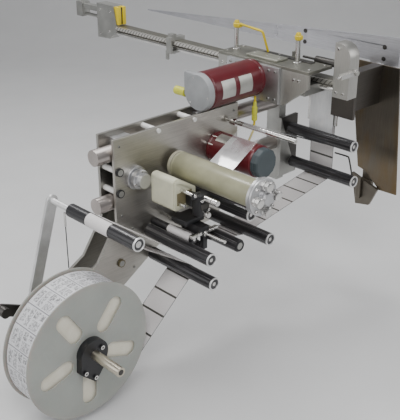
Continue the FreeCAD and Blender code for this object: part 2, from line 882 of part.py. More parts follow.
def traverse_motor():
    flange_x = D.side_x - D.motor_flange_thick
    blank = box("flange_blank", (flange_x, D.motor_y - D.motor_flange_wide / 2, D.motor_flange_low_z),
                (D.motor_flange_thick, D.motor_flange_wide, D.motor_flange_tall))
    bore = cylinder("flange_bore", "X", (flange_x, D.motor_y, D.motor_z),
                    D.motor_shaft_radius + D.running_fit, D.motor_flange_thick)
    keep(cut("flange", blank, [bore]), "motor_flange")
    body_x = flange_x - D.motor_long
    keep(cylinder("motor_body", "X", (body_x, D.motor_y, D.motor_z), D.motor_radius, D.motor_long),
         "traverse_motor")
    cap_x = body_x - D.motor_cap_long
    disc = cylinder("cap_disc", "X", (cap_x, D.motor_y, D.motor_z), D.motor_radius, D.motor_cap_long)
    shoulder = box("cap_shoulder", (cap_x, D.motor_y, D.motor_z - D.motor_cap_side / 4),
                   (D.motor_cap_long, D.motor_radius, D.motor_cap_side))
    keep(fuse("motor_cap", [disc, shoulder]), "traverse_motor_cap")
    tail = D.motor_shaft_tail
    shaft_x = flange_x + tail
    shaft = cylinder("shaft_rod", "X", (shaft_x, D.motor_y, D.motor_z), D.motor_shaft_radius,
                     D.beam_x - D.rack_wide + D.pinion_wide - shaft_x)
    gear = shape_feature("gear", pinion_shape())
    keep(fuse("pinion_shaft", [shaft, gear]), "drive_pinion")


def edge_sensors():
    solids = []
    low_z = D.top_plate_z + D.top_plate_thick
    spots = (("far", D.sensor_far_x, D.sensor_far_y), ("near", D.sensor_near_x, D.sensor_near_y))
    for name, x, y in spots:
        foot = cylinder("sensor_foot_" + name, "Z", (x, y, low_z), D.sensor_foot_radius, D.sensor_foot_tall)
        post_z = low_z + D.sensor_foot_tall
        post = cylinder("sensor_post_" + name, "Z", (x, y, post_z), D.sensor_post_radius, D.sensor_post_tall)
        cap = cylinder("sensor_cap_" + name, "Z", (x, y, post_z + D.sensor_post_tall), D.sensor_cap_radius,
                       D.sensor_cap_tall)
        solids.append(fuse("edge_sensor_" + name, [foot, post, cap]))
    keep(group("sensors", solids), "edge_sensors")


def bar_centre_y():
    return D.front_plate_thick + D.plate_gap / 2


def bar_levels():
    return (("high", D.bar_high_z), ("low", D.bar_low_z))


def hanger():
    near_y = bar_centre_y() - D.post_wide / 2
    post = box("post", (D.post_x, near_y, D.post_low_z),
               (D.post_long, D.post_wide, D.shelf_low_z - D.post_low_z))
    plate = box("roller_plate", (D.post_x, near_y - D.roller_plate_thick, D.roller_plate_low_z),
                (D.roller_plate_long, D.roller_plate_thick, D.roller_plate_tall))
    keep(group("hanger_parts", [post, plate]), "hanger_post")
    bars = []
    clamps = []
    for name, level in bar_levels():
        start = (D.bar_left_x, bar_centre_y(), level)
        bars.append(cylinder("bar_" + name, "X", start, D.bar_radius, D.post_x - D.bar_left_x))
        for side, x in (("left", D.clamp_left_x), ("right", D.clamp_right_x)):
            title = "clamp_%s_%s" % (name, side)
            blank = box(title + "_blank", (x, D.front_plate_thick, level - D.clamp_tall / 2),
                        (D.clamp_long, D.plate_gap, D.clamp_tall))
            bore = cylinder(title + "_bore", "X", (x, bar_centre_y(), level), D.bar_radius, D.clamp_long)
            clamps.append(cut(title, blank, [bore]))
    keep(group("bars", bars), "support_bars")
    keep(group("clamps", clamps), "bar_clamps")


def plates():
    rear_y = D.front_plate_thick + D.plate_gap
    far_y = rear_y + D.rear_plate_thick
    reel_hole = (D.reel_x, D.reel_z, D.reel_shaft_radius + D.running_fit)
    drum_hole = (D.drum_x, D.rewind_z, D.spindle_radius + D.running_fit)
    motor_hole = (D.rewind_motor_x, D.rewind_z, D.rewind_shaft_radius + D.running_fit)
    front = prism("front", "XZ", outline("plate"), (0, D.front_plate_thick, 0), D.front_plate_thick,
                  [reel_hole, drum_hole, motor_hole])
    keep(front, "front_plate")
    rear = prism("rear_blank", "XZ", outline("plate"), (0, far_y, 0), D.rear_plate_thick, [reel_hole])
    pin_long = D.dancer_gap + D.dancer_arm_thick + D.face_gap * 2
    pin = cylinder("dancer_pin", "Y", (D.reel_x, far_y, D.reel_z), D.dancer_pin_radius, pin_long)
    cap = cylinder("dancer_pin_cap", "Y", (D.reel_x, far_y + pin_long, D.reel_z),
                   D.dancer_pin_head_radius, D.dancer_pin_head_long)
    keep(fuse("rear", [rear, pin, cap]), "rear_plate")
    rods = []
    for index, (x, z) in enumerate(outline("tie_rods")):
        rod = cylinder("tie_rod%d" % index, "Y", (x, D.front_plate_thick, z), D.tie_rod_radius, D.plate_gap)
        head = cylinder("tie_head%d" % index, "Y", (x, -D.tie_screw_tall, z), D.tie_screw_radius,
                        D.tie_screw_tall)
        rods += [rod, head]
    keep(group("ties", rods), "tie_rods")


def nip_centre():
    """The nip roller stands over the infeed roller with the web between them."""
    reach = D.roller_radius + D.nip_open + D.nip_radius
    angle = math.radians(D.nip_angle.number)
    along = Size(math.cos(angle), "cos(Dims.nip_angle)")
    up = Size(math.sin(angle), "sin(Dims.nip_angle)")
    return D.infeed_x + reach * along, D.infeed_z + reach * up


def roller_places():
    return (
        ("infeed_roller", D.infeed_x, D.infeed_z),
        ("supply_roller", D.supply_x, D.supply_z),
        ("first_guide_roller", D.guide_first_x, D.guide_first_z),
        ("second_guide_roller", D.guide_second_x, D.guide_second_z),
        ("third_guide_roller", D.guide_third_x, D.guide_third_z),
        ("upper_peel_roller", D.peel_high_x, D.peel_high_z),
        ("lower_peel_roller", D.peel_low_x, D.peel_low_z),
    )


def sleeve(label, x, z, radius, near, far, axle_radius):
    """A roller sleeve with a running bore and a recess in its near end."""
    blank = cylinder(label + "_blank", "Y", (x, near, z), radius, far - near)
    bore = cylinder(label + "_bore", "Y", (x, near, z), axle_radius + D.running_fit, far - near)
    recess = cylinder(label + "_recess", "Y", (x, near, z), D.ring_radius, D.ring_deep)
    return keep(cut(label + "_cut", blank, [bore, recess]), label)


def plain_sleeve(label, x, z, radius, near, far, axle_radius):
    """A roller sleeve with only a running bore."""
    blank = cylinder(label + "_blank", "Y", (x, near, z), radius, far - near)
    bore = cylinder(label + "_bore", "Y", (x, near, z), axle_radius + D.running_fit, far - near)
    return keep(cut(label + "_cut", blank, [bore]), label)


def rollers():
    axle_near = D.roller_near_y + D.axle_inset
    axles = []
    for label, x, z in roller_places():
        sleeve(label, x, z, D.roller_radius, D.roller_near_y, D.roller_far_y, D.axle_radius)
        axles.append(cylinder(label + "_axle", "Y", (x, axle_near, z), D.axle_radius, -axle_near))
    plain_sleeve("thin_roller", D.thin_x, D.thin_z, D.thin_radius, D.roller_near_y,
                 -D.thin_collar_gap - D.thin_collar_long - D.face_gap, D.thin_axle_radius)
    axles.append(cylinder("thin_axle", "Y", (D.thin_x, axle_near, D.thin_z), D.thin_axle_radius, -axle_near))
    thin_collar = cylinder("thin_collar", "Y", (D.thin_x, -D.thin_collar_gap - D.thin_collar_long, D.thin_z),
                           D.thin_collar_radius, D.thin_collar_long)
    thin_hole = cylinder("thin_collar_hole", "Y",
                         (D.thin_x, -D.thin_collar_gap - D.thin_collar_long, D.thin_z),
                         D.thin_axle_radius, D.thin_collar_long)
    axles.append(cut("thin_collar_ring", thin_collar, [thin_hole]))
    nip_x, nip_z = nip_centre()
    nip_near = D.nip_far_y - D.nip_long
    plain_sleeve("nip_roller", nip_x, nip_z, D.nip_radius, nip_near, D.nip_far_y, D.nip_axle_radius)
    axles.append(cylinder("nip_axle", "Y", (nip_x, nip_near, nip_z), D.nip_axle_radius, -nip_near))
    axles.append(cylinder("sensor_rod", "Y", (D.rod_x, axle_near, D.rod_z), D.rod_radius, -axle_near))
    keep(group("axles", axles), "roller_axles")


def dancer():
    rear_far = D.front_plate_thick + D.plate_gap + D.rear_plate_thick
    arm_low = rear_far + D.dancer_gap + D.face_gap
    arm_far = arm_low + D.dancer_arm_thick
    hub = cylinder("dancer_hub", "Y", (D.reel_x, arm_low, D.reel_z), D.dancer_hub_radius, D.dancer_arm_thick)
    eye = cylinder("dancer_eye", "Y", (D.dancer_x, arm_low, D.dancer_z), D.dancer_arm_wide / 2,
                   D.dancer_arm_thick)
    arms = []
    ends = (("roller", D.dancer_x, D.dancer_z), ("weight", D.dancer_weight_x, D.dancer_weight_z))
    for name, x, z in ends:
        reach_x = x.number - D.reel_x.number
        reach_z = z.number - D.reel_z.number
        reach = math.hypot(reach_x, reach_z)
        half = D.dancer_arm_wide.number / 2
        side_x = -reach_z / reach * half
        side_z = reach_x / reach * half
        start = (D.reel_x.number, D.reel_z.number)
        finish = (x.number, z.number)
        points = [
            (start[0] + side_x, start[1] + side_z),
            (finish[0] + side_x, finish[1] + side_z),
            (finish[0] - side_x, finish[1] - side_z),
            (start[0] - side_x, start[1] - side_z),
        ]
        arms.append(shape_feature("dancer_bar_" + name,
                                  extruded(points, "Y", arm_low.number, D.dancer_arm_thick.number)))
    weight_eye = cylinder("weight_eye", "Y", (D.dancer_weight_x, arm_low, D.dancer_weight_z),
                          D.dancer_arm_wide / 2, D.dancer_arm_thick)
    weight = cylinder("weight", "Y", (D.dancer_weight_x, arm_low - D.dancer_weight_long, D.dancer_weight_z),
                      D.dancer_weight_radius, D.dancer_weight_long)
    shaft_near = D.roller_near_y + D.axle_inset
    shaft = cylinder("dancer_shaft", "Y", (D.dancer_x, shaft_near, D.dancer_z), D.dancer_shaft_radius,
                     arm_low - shaft_near)
    solid = fuse("dancer_solid", [hub, eye, weight_eye, weight, shaft] + arms)
    bore = cylinder("dancer_bore", "Y", (D.reel_x, arm_low, D.reel_z),
                    D.dancer_pin_radius + D.running_fit, arm_far - arm_low)
    keep(cut("dancer", solid, [bore]), "dancer_arm")
    sleeve("dancer_roller", D.dancer_x, D.dancer_z, D.roller_radius, D.roller_near_y,
           D.dancer_sleeve_far_y, D.dancer_shaft_radius)


def reel():
    rear_y = D.front_plate_thick + D.plate_gap
    shaft_far = rear_y + D.rear_plate_thick - D.face_gap
    start = (D.reel_x, D.reel_shaft_near_y, D.reel_z)
    keep(cylinder("reel_rod", "Y", start, D.reel_shaft_radius, shaft_far - D.reel_shaft_near_y),
         "reel_shaft")
    roll_near = D.web_near_y
    discs = []
    for name, near in (("near", D.flange_near_y), ("far", D.flange_far_y)):
        spot = (D.reel_x, near, D.reel_z)
        discs.append(cylinder("flange_disc_" + name, "Y", spot, D.reel_radius, D.flange_thick))
    reel_far = D.flange_far_y + D.flange_thick
    corners = rectangle(D.slot_near, -D.slot_wide / 2, D.slot_far - D.slot_near, D.slot_wide)
    tools = []
    for index in range(5):
        turn = FreeCAD.Rotation(Vector(0, 1, 0), -(D.slot_first_angle.number + 72 * index))
        slot = prism("slot%d" % index, "XZ", corners, (D.reel_x, reel_far, D.reel_z),
                     reel_far - D.flange_near_y, (), turn)
        tools.append(round_corners(slot, "XZ", corners, D.slot_wide * SLOT_ROUND_SHARE))
    hub_near = D.flange_near_y + D.flange_thick
    hub = cylinder("reel_hub", "Y", (D.reel_x, hub_near, D.reel_z), D.core_radius, D.flange_far_y - hub_near)
    solid = fuse("reel_solid", discs + [hub])
    tools.append(cylinder("reel_bore", "Y", start, D.reel_shaft_radius, shaft_far - D.reel_shaft_near_y))
    keep(cut("flanges", solid, tools), "reel_flanges")
    roll = cylinder("roll_blank", "Y", (D.reel_x, roll_near, D.reel_z), D.label_roll_radius, D.web_wide)
    hole = cylinder("roll_hole", "Y", (D.reel_x, roll_near, D.reel_z), D.core_radius, D.web_wide)
    keep(cut("roll", roll, [hole]), "label_roll")
    clamp_near = D.flange_near_y - D.hub_clamp_thick
    disc = cylinder("clamp_disc", "Y", (D.reel_x, clamp_near, D.reel_z), D.hub_clamp_radius, D.hub_clamp_thick)
    lobe = prism("clamp_lobe", "XZ", outline("hub_lobe"), (D.reel_x, D.flange_near_y, D.reel_z),
                 D.hub_clamp_thick)
    clamp_bore = cylinder("clamp_bore", "Y", (D.reel_x, clamp_near, D.reel_z), D.reel_shaft_radius,
                          D.hub_clamp_thick)
    ring = cut("clamp_ring", fuse("clamp_solid", [disc, lobe]), [clamp_bore])
    solids = [ring]
    for index, (x, z) in enumerate(outline("hub_screws")):
        spot = (D.reel_x + x, clamp_near - D.hub_screw_radius, D.reel_z + z)
        solids.append(cylinder("clamp_screw%d" % index, "Y", spot, D.hub_screw_radius, D.hub_screw_radius))
    keep(group("clamp_parts", solids), "hub_clamp")


def rewind():
    spindle_far = D.front_plate_thick + D.plate_gap / 2 + D.pulley_wide
    pulley_y = D.front_plate_thick + D.plate_gap / 2 - D.pulley_wide / 2 - D.face_gap
    drum_spot = (D.drum_x, D.drum_near_y, D.rewind_z)
    blank = cylinder("drum_blank", "Y", drum_spot, D.drum_radius, D.drum_far_y - D.drum_near_y)
    bore = cylinder("drum_bore", "Y", drum_spot, D.spindle_radius, D.drum_far_y - D.drum_near_y)
    keep(cut("drum", blank, [bore]), "rewind_drum")
    spindle = cylinder("spindle", "Y", drum_spot, D.spindle_radius, spindle_far - D.drum_near_y)
    collar = cylinder("drum_collar", "Y", (D.drum_x, D.drum_far_y, D.rewind_z), D.drum_radius,
                      D.drum_collar_long)
    cap_near = D.drum_near_y - D.drum_cap_long
    cap = cylinder("drum_cap", "Y", (D.drum_x, cap_near, D.rewind_z), D.drum_cap_radius, D.drum_cap_long)
    pulley = cylinder("drum_pulley", "Y", (D.drum_x, pulley_y, D.rewind_z), D.pulley_radius, D.pulley_wide)
    solids = [spindle, collar, cap, pulley]
    for index, (side, level) in enumerate(((-1, 0), (1, 0), (0, 1), (0, -1))):
        spot = (D.drum_x + D.drum_knob_pitch * side, cap_near - D.drum_knob_long,
                D.rewind_z + D.drum_knob_pitch * level)
        solids.append(cylinder("drum_knob%d" % index, "Y", spot, D.drum_knob_radius, D.drum_knob_long))
    keep(fuse("spindle_parts", solids), "drum_spindle")
    motor_spot = (D.rewind_motor_x, -D.rewind_motor_long, D.rewind_z)
    keep(cylinder("rewind_body", "Y", motor_spot, D.rewind_motor_radius, D.rewind_motor_long),
         "rewind_motor")
    cap_spot = (D.rewind_motor_x, -D.rewind_motor_long - D.rewind_cap_long, D.rewind_z)
    keep(cylinder("rewind_cap", "Y", cap_spot, D.rewind_cap_radius, D.rewind_cap_long), "rewind_motor_cap")
    shaft = cylinder("rewind_shaft", "Y", (D.rewind_motor_x, D.face_gap, D.rewind_z),
                     D.rewind_shaft_radius, spindle_far - D.face_gap)
    wheel = cylinder("rewind_wheel", "Y", (D.rewind_motor_x, pulley_y, D.rewind_z), D.pulley_radius,
                     D.pulley_wide)
    keep(fuse("rewind_parts", [shaft, wheel]), "rewind_pulley")
    keep(shape_feature("belt", belt_shape(pulley_y.number)), "rewind_belt")


def belt_loop(radius, low_y, wide):
    """A flat loop round both pulleys as a solid."""
    left = D.drum_x.number
    right = D.rewind_motor_x.number
    level = D.rewind_z.number
    edges = [
        Part.makeLine(Vector(left, low_y, level + radius), Vector(right, low_y, level + radius)),
        Part.Arc(Vector(right, low_y, level + radius), Vector(right + radius, low_y, level),
                 Vector(right, low_y, level - radius)).toShape(),
        Part.makeLine(Vector(right, low_y, level - radius), Vector(left, low_y, level - radius)),
        Part.Arc(Vector(left, low_y, level - radius), Vector(left - radius, low_y, level),
                 Vector(left, low_y, level + radius)).toShape(),
    ]
    return Part.Face(Part.Wire(edges)).extrude(Vector(0, wide, 0))


def belt_shape(low_y):
    inset = D.belt_inset.number
    wide = D.pulley_wide.number - 2 * inset
    inner = D.pulley_radius.number + D.face_gap.number
    outer = belt_loop(inner + D.belt_thick.number, low_y + inset, wide)
    return outer.cut(belt_loop(inner, low_y + inset, wide))


def actuator():
    hub_long = D.actuator_hub_long
    keep(cylinder("hub", "Y", (D.actuator_x, -hub_long, D.actuator_z), D.actuator_hub_radius, hub_long),
         "actuator_hub")
    corners = outline("housing")
    housing = prism("housing", "XZ", corners, (0, -hub_long, 0), D.housing_long)
    round_corners(housing, "XZ", corners, D.housing_round)
    keep(housing, "actuator_housing")
    nose_far = -hub_long - D.housing_long
    yoke_far = nose_far - D.nose_long
    nose = box("nose", (D.yoke_x, yoke_far, D.nose_low_z), (D.nose_wide, D.nose_long, D.nose_tall))
    bar = box("yoke_bar", (D.yoke_x, yoke_far - D.yoke_thick, D.yoke_low_z),
              (D.yoke_wide, D.yoke_thick, D.yoke_tall))
    middle = D.yoke_x + D.yoke_wide / 2
    near = yoke_far - D.yoke_thick
    inset = D.yoke_rod_inset
    rods = []
    rows = (
        ("high", D.yoke_low_z + D.yoke_tall - inset, D.yoke_high_rod_long),
        ("low", D.yoke_low_z + inset, D.yoke_low_rod_long),
    )
    for name, level, long in rows:
        rods.append(cylinder("yoke_rod_" + name, "Y", (middle, near - long, level), D.yoke_rod_radius, long))
    keep(fuse("yoke", [nose, bar] + rods), "actuator_yoke")


def label_sensor():
    low_x = D.rod_x - D.label_sensor_wide / 2
    tall = D.label_sensor_high_z - D.label_sensor_low_z
    blank = box("sensor_blank", (low_x, D.label_sensor_near_y, D.label_sensor_low_z),
                (D.label_sensor_wide, D.label_sensor_long, tall))
    slot = box("sensor_slot", (low_x, D.label_sensor_near_y + D.sensor_slot_wall, D.sensor_slot_low_z),
               (D.label_sensor_wide, D.label_sensor_long, D.sensor_slot_tall))
    bore = cylinder("sensor_bore", "Y", (D.rod_x, D.label_sensor_near_y, D.rod_z),
                    D.rod_radius + D.running_fit, D.label_sensor_long)
    keep(cut("sensor_block", blank, [slot, bore]), "label_sensor")


def peel():
    plate = box("peel_blade", (D.peel_x, D.peel_near_y, D.peel_plate_low_z),
                (D.peel_thick, D.peel_far_y - D.peel_near_y, D.peel_plate_high_z - D.peel_plate_low_z))
    bar = box("peel_bar", (D.shelf_far_x, D.peel_bar_near_y, D.peel_bar_low_z),
              (D.peel_x + D.peel_thick - D.shelf_far_x,
               D.peel_bar_far_y - D.peel_bar_near_y, D.peel_bar_tall))
    keep(fuse("peel_parts", [plate, bar]), "peel_plate")


def run_ends(first, second, offset):
    """Ends of the straight run between two stops. A stop is x, z and its radius, which is positive
    where the web goes round it counter-clockwise as seen by the viewer."""
    first_x, first_z, first_q = first
    second_x, second_z, second_q = second
    first_q -= offset
    second_q -= offset
    distance = math.hypot(second_x - first_x, second_z - first_z)
    angle = math.atan2(second_z - first_z, second_x - first_x) - math.asin((second_q - first_q) / distance)
    side_x = -math.sin(angle)
    side_z = math.cos(angle)
    start = (first_x - first_q * side_x, first_z - first_q * side_z)
    finish = (second_x - second_q * side_x, second_z - second_q * side_z)
    return start, finish


def web_edges(stops, items, offset, low_y):
    """Edges of one side of a stretch of web, in order."""
    edges = []
    for kind, index in items:
        if kind == "run":
            start, finish = run_ends(stops[index], stops[index + 1], offset)
            edges.append(Part.makeLine(Vector(start[0], low_y, start[1]), Vector(finish[0], low_y, finish[1])))
            continue
        centre_x, centre_z, turn = stops[index]
        start = run_ends(stops[index - 1], stops[index], offset)[1]
        finish = run_ends(stops[index], stops[index + 1], offset)[0]
        first = math.atan2(start[1] - centre_z, start[0] - centre_x)
        last = math.atan2(finish[1] - centre_z, finish[0] - centre_x)
        sweep = (last - first) % (2 * math.pi)
        if turn < 0:
            sweep = -((first - last) % (2 * math.pi))
        radius = abs(turn - offset)
        middle = first + sweep / 2
        spot = Vector(centre_x + radius * math.cos(middle), low_y, centre_z + radius * math.sin(middle))
        edges.append(Part.Arc(Vector(start[0], low_y, start[1]), spot,
                              Vector(finish[0], low_y, finish[1])).toShape())
    return edges


def web_solid(stops, items):
    """A stretch of web of even thickness."""
    half = D.web_thick.number / 2
    low_y = D.web_near_y.number
    left = web_edges(stops, items, half, low_y)
    right = web_edges(stops, items, -half, low_y)
    ends = [
        Part.makeLine(left[0].firstVertex(True).Point, right[0].firstVertex(True).Point),
        Part.makeLine(left[-1].lastVertex(True).Point, right[-1].lastVertex(True).Point),
    ]
    loop = Part.Wire(Part.__sortEdges__(left + right + ends))
    return Part.Face(loop).extrude(Vector(0, D.web_wide.number, 0))


def web_stops():
    """Every roller that the web passes, from the label roll to the rewind drum."""
    clear = D.web_gap.number + D.web_thick.number / 2
    big = D.roller_radius.number + clear
    nip_x, nip_z = nip_centre()
    drum = D.drum_radius.number + clear
    drum_x = D.drum_x.number
    rewind_z = D.rewind_z.number
    return [
        (D.reel_x.number, D.reel_z.number, D.label_roll_radius.number + clear),
        (D.supply_x.number, D.supply_z.number, big),
        (D.dancer_x.number, D.dancer_z.number, -big),
        (D.infeed_x.number, D.infeed_z.number, big),
        (nip_x.number, nip_z.number, -D.nip_radius.number - clear),
        (D.guide_first_x.number, D.guide_first_z.number, big),
        (D.guide_second_x.number, D.guide_second_z.number, big),
        (D.peel_low_x.number, D.peel_low_z.number, big),
        (D.peel_x.number + D.peel_thick.number / 2, D.peel_tip_z.number, D.peel_tip_radius.number),
        (D.peel_high_x.number, D.peel_high_z.number, -big),
        (D.thin_x.number, D.thin_z.number, D.thin_radius.number + clear),
        (drum_x, rewind_z, -drum),
        (drum_x - DRUM_WRAP_REACH * drum, rewind_z, 0),
    ]


def webs():
    stops = web_stops()
    supply = web_solid(stops, [("run", 0), ("wrap", 1)])
    feed = web_solid(stops, [
        ("wrap", 3), ("run", 3), ("wrap", 4), ("run", 4), ("wrap", 5), ("run", 5), ("wrap", 6), ("run", 6),
        ("wrap", 7), ("run", 7),
    ])
    label_group = [shape_feature("supply_web", supply), shape_feature("feed_web", feed)]
    keep(group("labels", label_group), "label_web")
    loop = web_solid(stops, [("run", 1), ("wrap", 2), ("run", 2)])
    keep(shape_feature("loop_web", loop), "dancer_web")
    liner = web_solid(stops, [
        ("wrap", 8), ("run", 8), ("wrap", 9), ("run", 9), ("wrap", 10), ("run", 10), ("wrap", 11),
    ])
    keep(shape_feature("liner", liner), "liner_web")


def cable_solid(corners, radius, bend):
    """A round cable along straight runs joined by tangent arcs."""
    edges = []
    last = corners[0]
    for before, corner, after in zip(corners, corners[1:], corners[2:]):
        into = (corner - before).normalize()
        out = (after - corner).normalize()
        half = (math.pi - into.getAngle(out)) / 2
        setback = bend / math.tan(half)
        start = corner - into * setback
        finish = corner + out * setback
        middle = (out - into).normalize()
        centre = corner + middle * (bend / math.sin(half))
        edges.append(Part.makeLine(last, start))
        edges.append(Part.Arc(start, centre - middle * bend, finish).toShape())
        last = finish
    edges.append(Part.makeLine(last, corners[-1]))
    path = Part.Wire(edges)
    start_circle = Part.Wire([Part.makeCircle(radius, corners[0], corners[1] - corners[0])])
    return path.makePipeShell([start_circle], True, True), path.Length


def yellow_cables():
    """The gland on the motor cap, the motor cable under the carriage and a sensor cable above it."""
    gland = cylinder("gland", "Y", (D.gland_x, D.motor_y + D.motor_radius, D.gland_z), D.gland_radius,
                     D.gland_long)
    radius = D.cable_radius.number
    bend = D.cable_bend.number
    plate_top = D.top_plate_z.number + D.top_plate_thick.number
    head_z = plate_top + D.sensor_foot_tall.number + D.sensor_post_tall.number
    far_x = D.sensor_far_x.number
    far_y = D.sensor_far_y.number - D.sensor_cap_radius.number
    sensor_cable, sensor_long = cable_solid([
        Vector(far_x, far_y, head_z + D.sensor_cap_tall.number / 2),
        Vector(D.sensor_cable_x.number, D.sensor_cable_y.number, head_z),
        Vector(D.sensor_cable_x.number + bend, D.sensor_cable_y.number - bend / 4, plate_top + radius),
    ], radius, bend / 2)
    cable_x = D.motor_cable_x.number
    cable_y = D.motor_cable_y.number
    drop_z = D.rewind_z.number + bend
    aside = D.motor_y.number - cable_y - radius
    motor_low = D.motor_z.number - math.sqrt(D.motor_radius.number ** 2 - aside ** 2)
    motor_cable, motor_long = cable_solid([
        Vector(cable_x, cable_y, motor_low - D.face_gap.number),
        Vector(cable_x, cable_y, drop_z),
        Vector(D.rewind_motor_x.number + D.rewind_motor_radius.number + radius / 2,
               D.motor_entry_y.number, D.rewind_z.number),
    ], radius, bend)
    print("cable lengths", round(sensor_long), round(motor_long))
    solids = [gland, shape_feature("sensor_cable", sensor_cable), shape_feature("motor_cable", motor_cable)]
    keep(group("cable_parts", solids), "yellow_cables")


arm_plate()
side_panel()
cross_bracket()
end_block()
rack_beam()
gear_rack()
guide_shafts()
far_end_block()
stop_collar()
lower_bracket()
shock_absorber()
clamp_lever()
carriage()
traverse_motor()
edge_sensors()
hanger()
plates()
rollers()
dancer()
reel()
rewind()
actuator()
label_sensor()
peel()
webs()
yellow_cables()

doc.recompute()
os.makedirs("parts", exist_ok=True)
for item in doc.Objects:
    for state in ("Invalid", "Error"):
        if state in item.State:
            raise RuntimeError("%s is %s" % (item.Name, state))
for item in subparts:
    if item.Shape.isNull() or not item.Shape.isValid():
        raise RuntimeError("%s has no valid shape" % item.Label)
for item in subparts:
    item.Shape.exportStep("parts/%s.step" % item.Label)
print(len(subparts), "sub-parts")
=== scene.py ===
import json
import math

import bmesh
import bpy
from mathutils import Matrix, Vector


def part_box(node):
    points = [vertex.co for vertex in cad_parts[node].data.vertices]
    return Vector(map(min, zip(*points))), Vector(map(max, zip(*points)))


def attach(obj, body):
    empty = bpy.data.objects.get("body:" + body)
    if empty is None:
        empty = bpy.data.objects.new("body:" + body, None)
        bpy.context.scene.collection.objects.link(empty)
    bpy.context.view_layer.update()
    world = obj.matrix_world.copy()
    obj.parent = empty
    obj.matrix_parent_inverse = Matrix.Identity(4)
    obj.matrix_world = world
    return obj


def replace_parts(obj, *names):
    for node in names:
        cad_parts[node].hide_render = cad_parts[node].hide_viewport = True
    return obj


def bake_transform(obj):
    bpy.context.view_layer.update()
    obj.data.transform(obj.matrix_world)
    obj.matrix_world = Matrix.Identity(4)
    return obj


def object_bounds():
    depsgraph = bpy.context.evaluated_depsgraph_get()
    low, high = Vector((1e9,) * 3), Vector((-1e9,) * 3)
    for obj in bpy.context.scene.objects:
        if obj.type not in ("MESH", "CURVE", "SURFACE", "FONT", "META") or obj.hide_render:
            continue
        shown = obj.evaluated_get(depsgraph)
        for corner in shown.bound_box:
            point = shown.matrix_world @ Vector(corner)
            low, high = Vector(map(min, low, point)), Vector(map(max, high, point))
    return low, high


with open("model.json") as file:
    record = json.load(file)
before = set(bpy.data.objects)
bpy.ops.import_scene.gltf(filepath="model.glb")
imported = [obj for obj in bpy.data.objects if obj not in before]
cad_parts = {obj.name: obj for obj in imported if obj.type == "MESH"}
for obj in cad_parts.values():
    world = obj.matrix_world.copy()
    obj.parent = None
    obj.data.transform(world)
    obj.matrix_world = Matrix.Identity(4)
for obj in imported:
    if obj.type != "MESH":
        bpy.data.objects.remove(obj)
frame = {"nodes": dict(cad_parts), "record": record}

cad_low, cad_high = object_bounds()

# Lengths below are in metres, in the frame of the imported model.
MM = 0.001
PLATE_ORIGIN = Vector((-1.006, 0.0535, -0.377))
PLATE_THICK = 0.010
WEB_WIDE = 0.100
WEB_HALF_THICK = 0.00015
WEB_CLEARANCE = 0.0005
LABEL_LONG = 0.062
LABEL_GAP = 0.0065
LABEL_MARGIN = 0.0015
VIEW_TURN = math.radians(-44.24)
VIEW_TILT = math.radians(90 - 25.2)
NODES = frame["nodes"]
BODIES = frame["record"]["behaviour"]["bodies"]
BODY_OF = {node: body for body, members in BODIES.items() for node in members}


def at(x, y, z):
    """A point given in millimetres from the front plate's lower left corner."""
    return PLATE_ORIGIN + Vector((x, y, z)) * MM


def middle(node):
    """The middle of a node's box."""
    low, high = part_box(node)
    return (low + high) / 2


def round_node(node):
    """Near end, radius and length of a round node that runs along Y."""
    low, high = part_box(node)
    start = Vector(((low.x + high.x) / 2, low.y, (low.z + high.z) / 2))
    return start, (high.x - low.x) / 2, high.y - low.y


def way_round(axis, degrees):
    """The way out from an axis at an angle, from +Y towards +Z round X, and from +X towards +Z round Y."""
    across, up = math.cos(math.radians(degrees)), math.sin(math.radians(degrees))
    return Vector((0.0, across, up)) if axis == "X" else Vector((across, 0.0, up))


# Materials


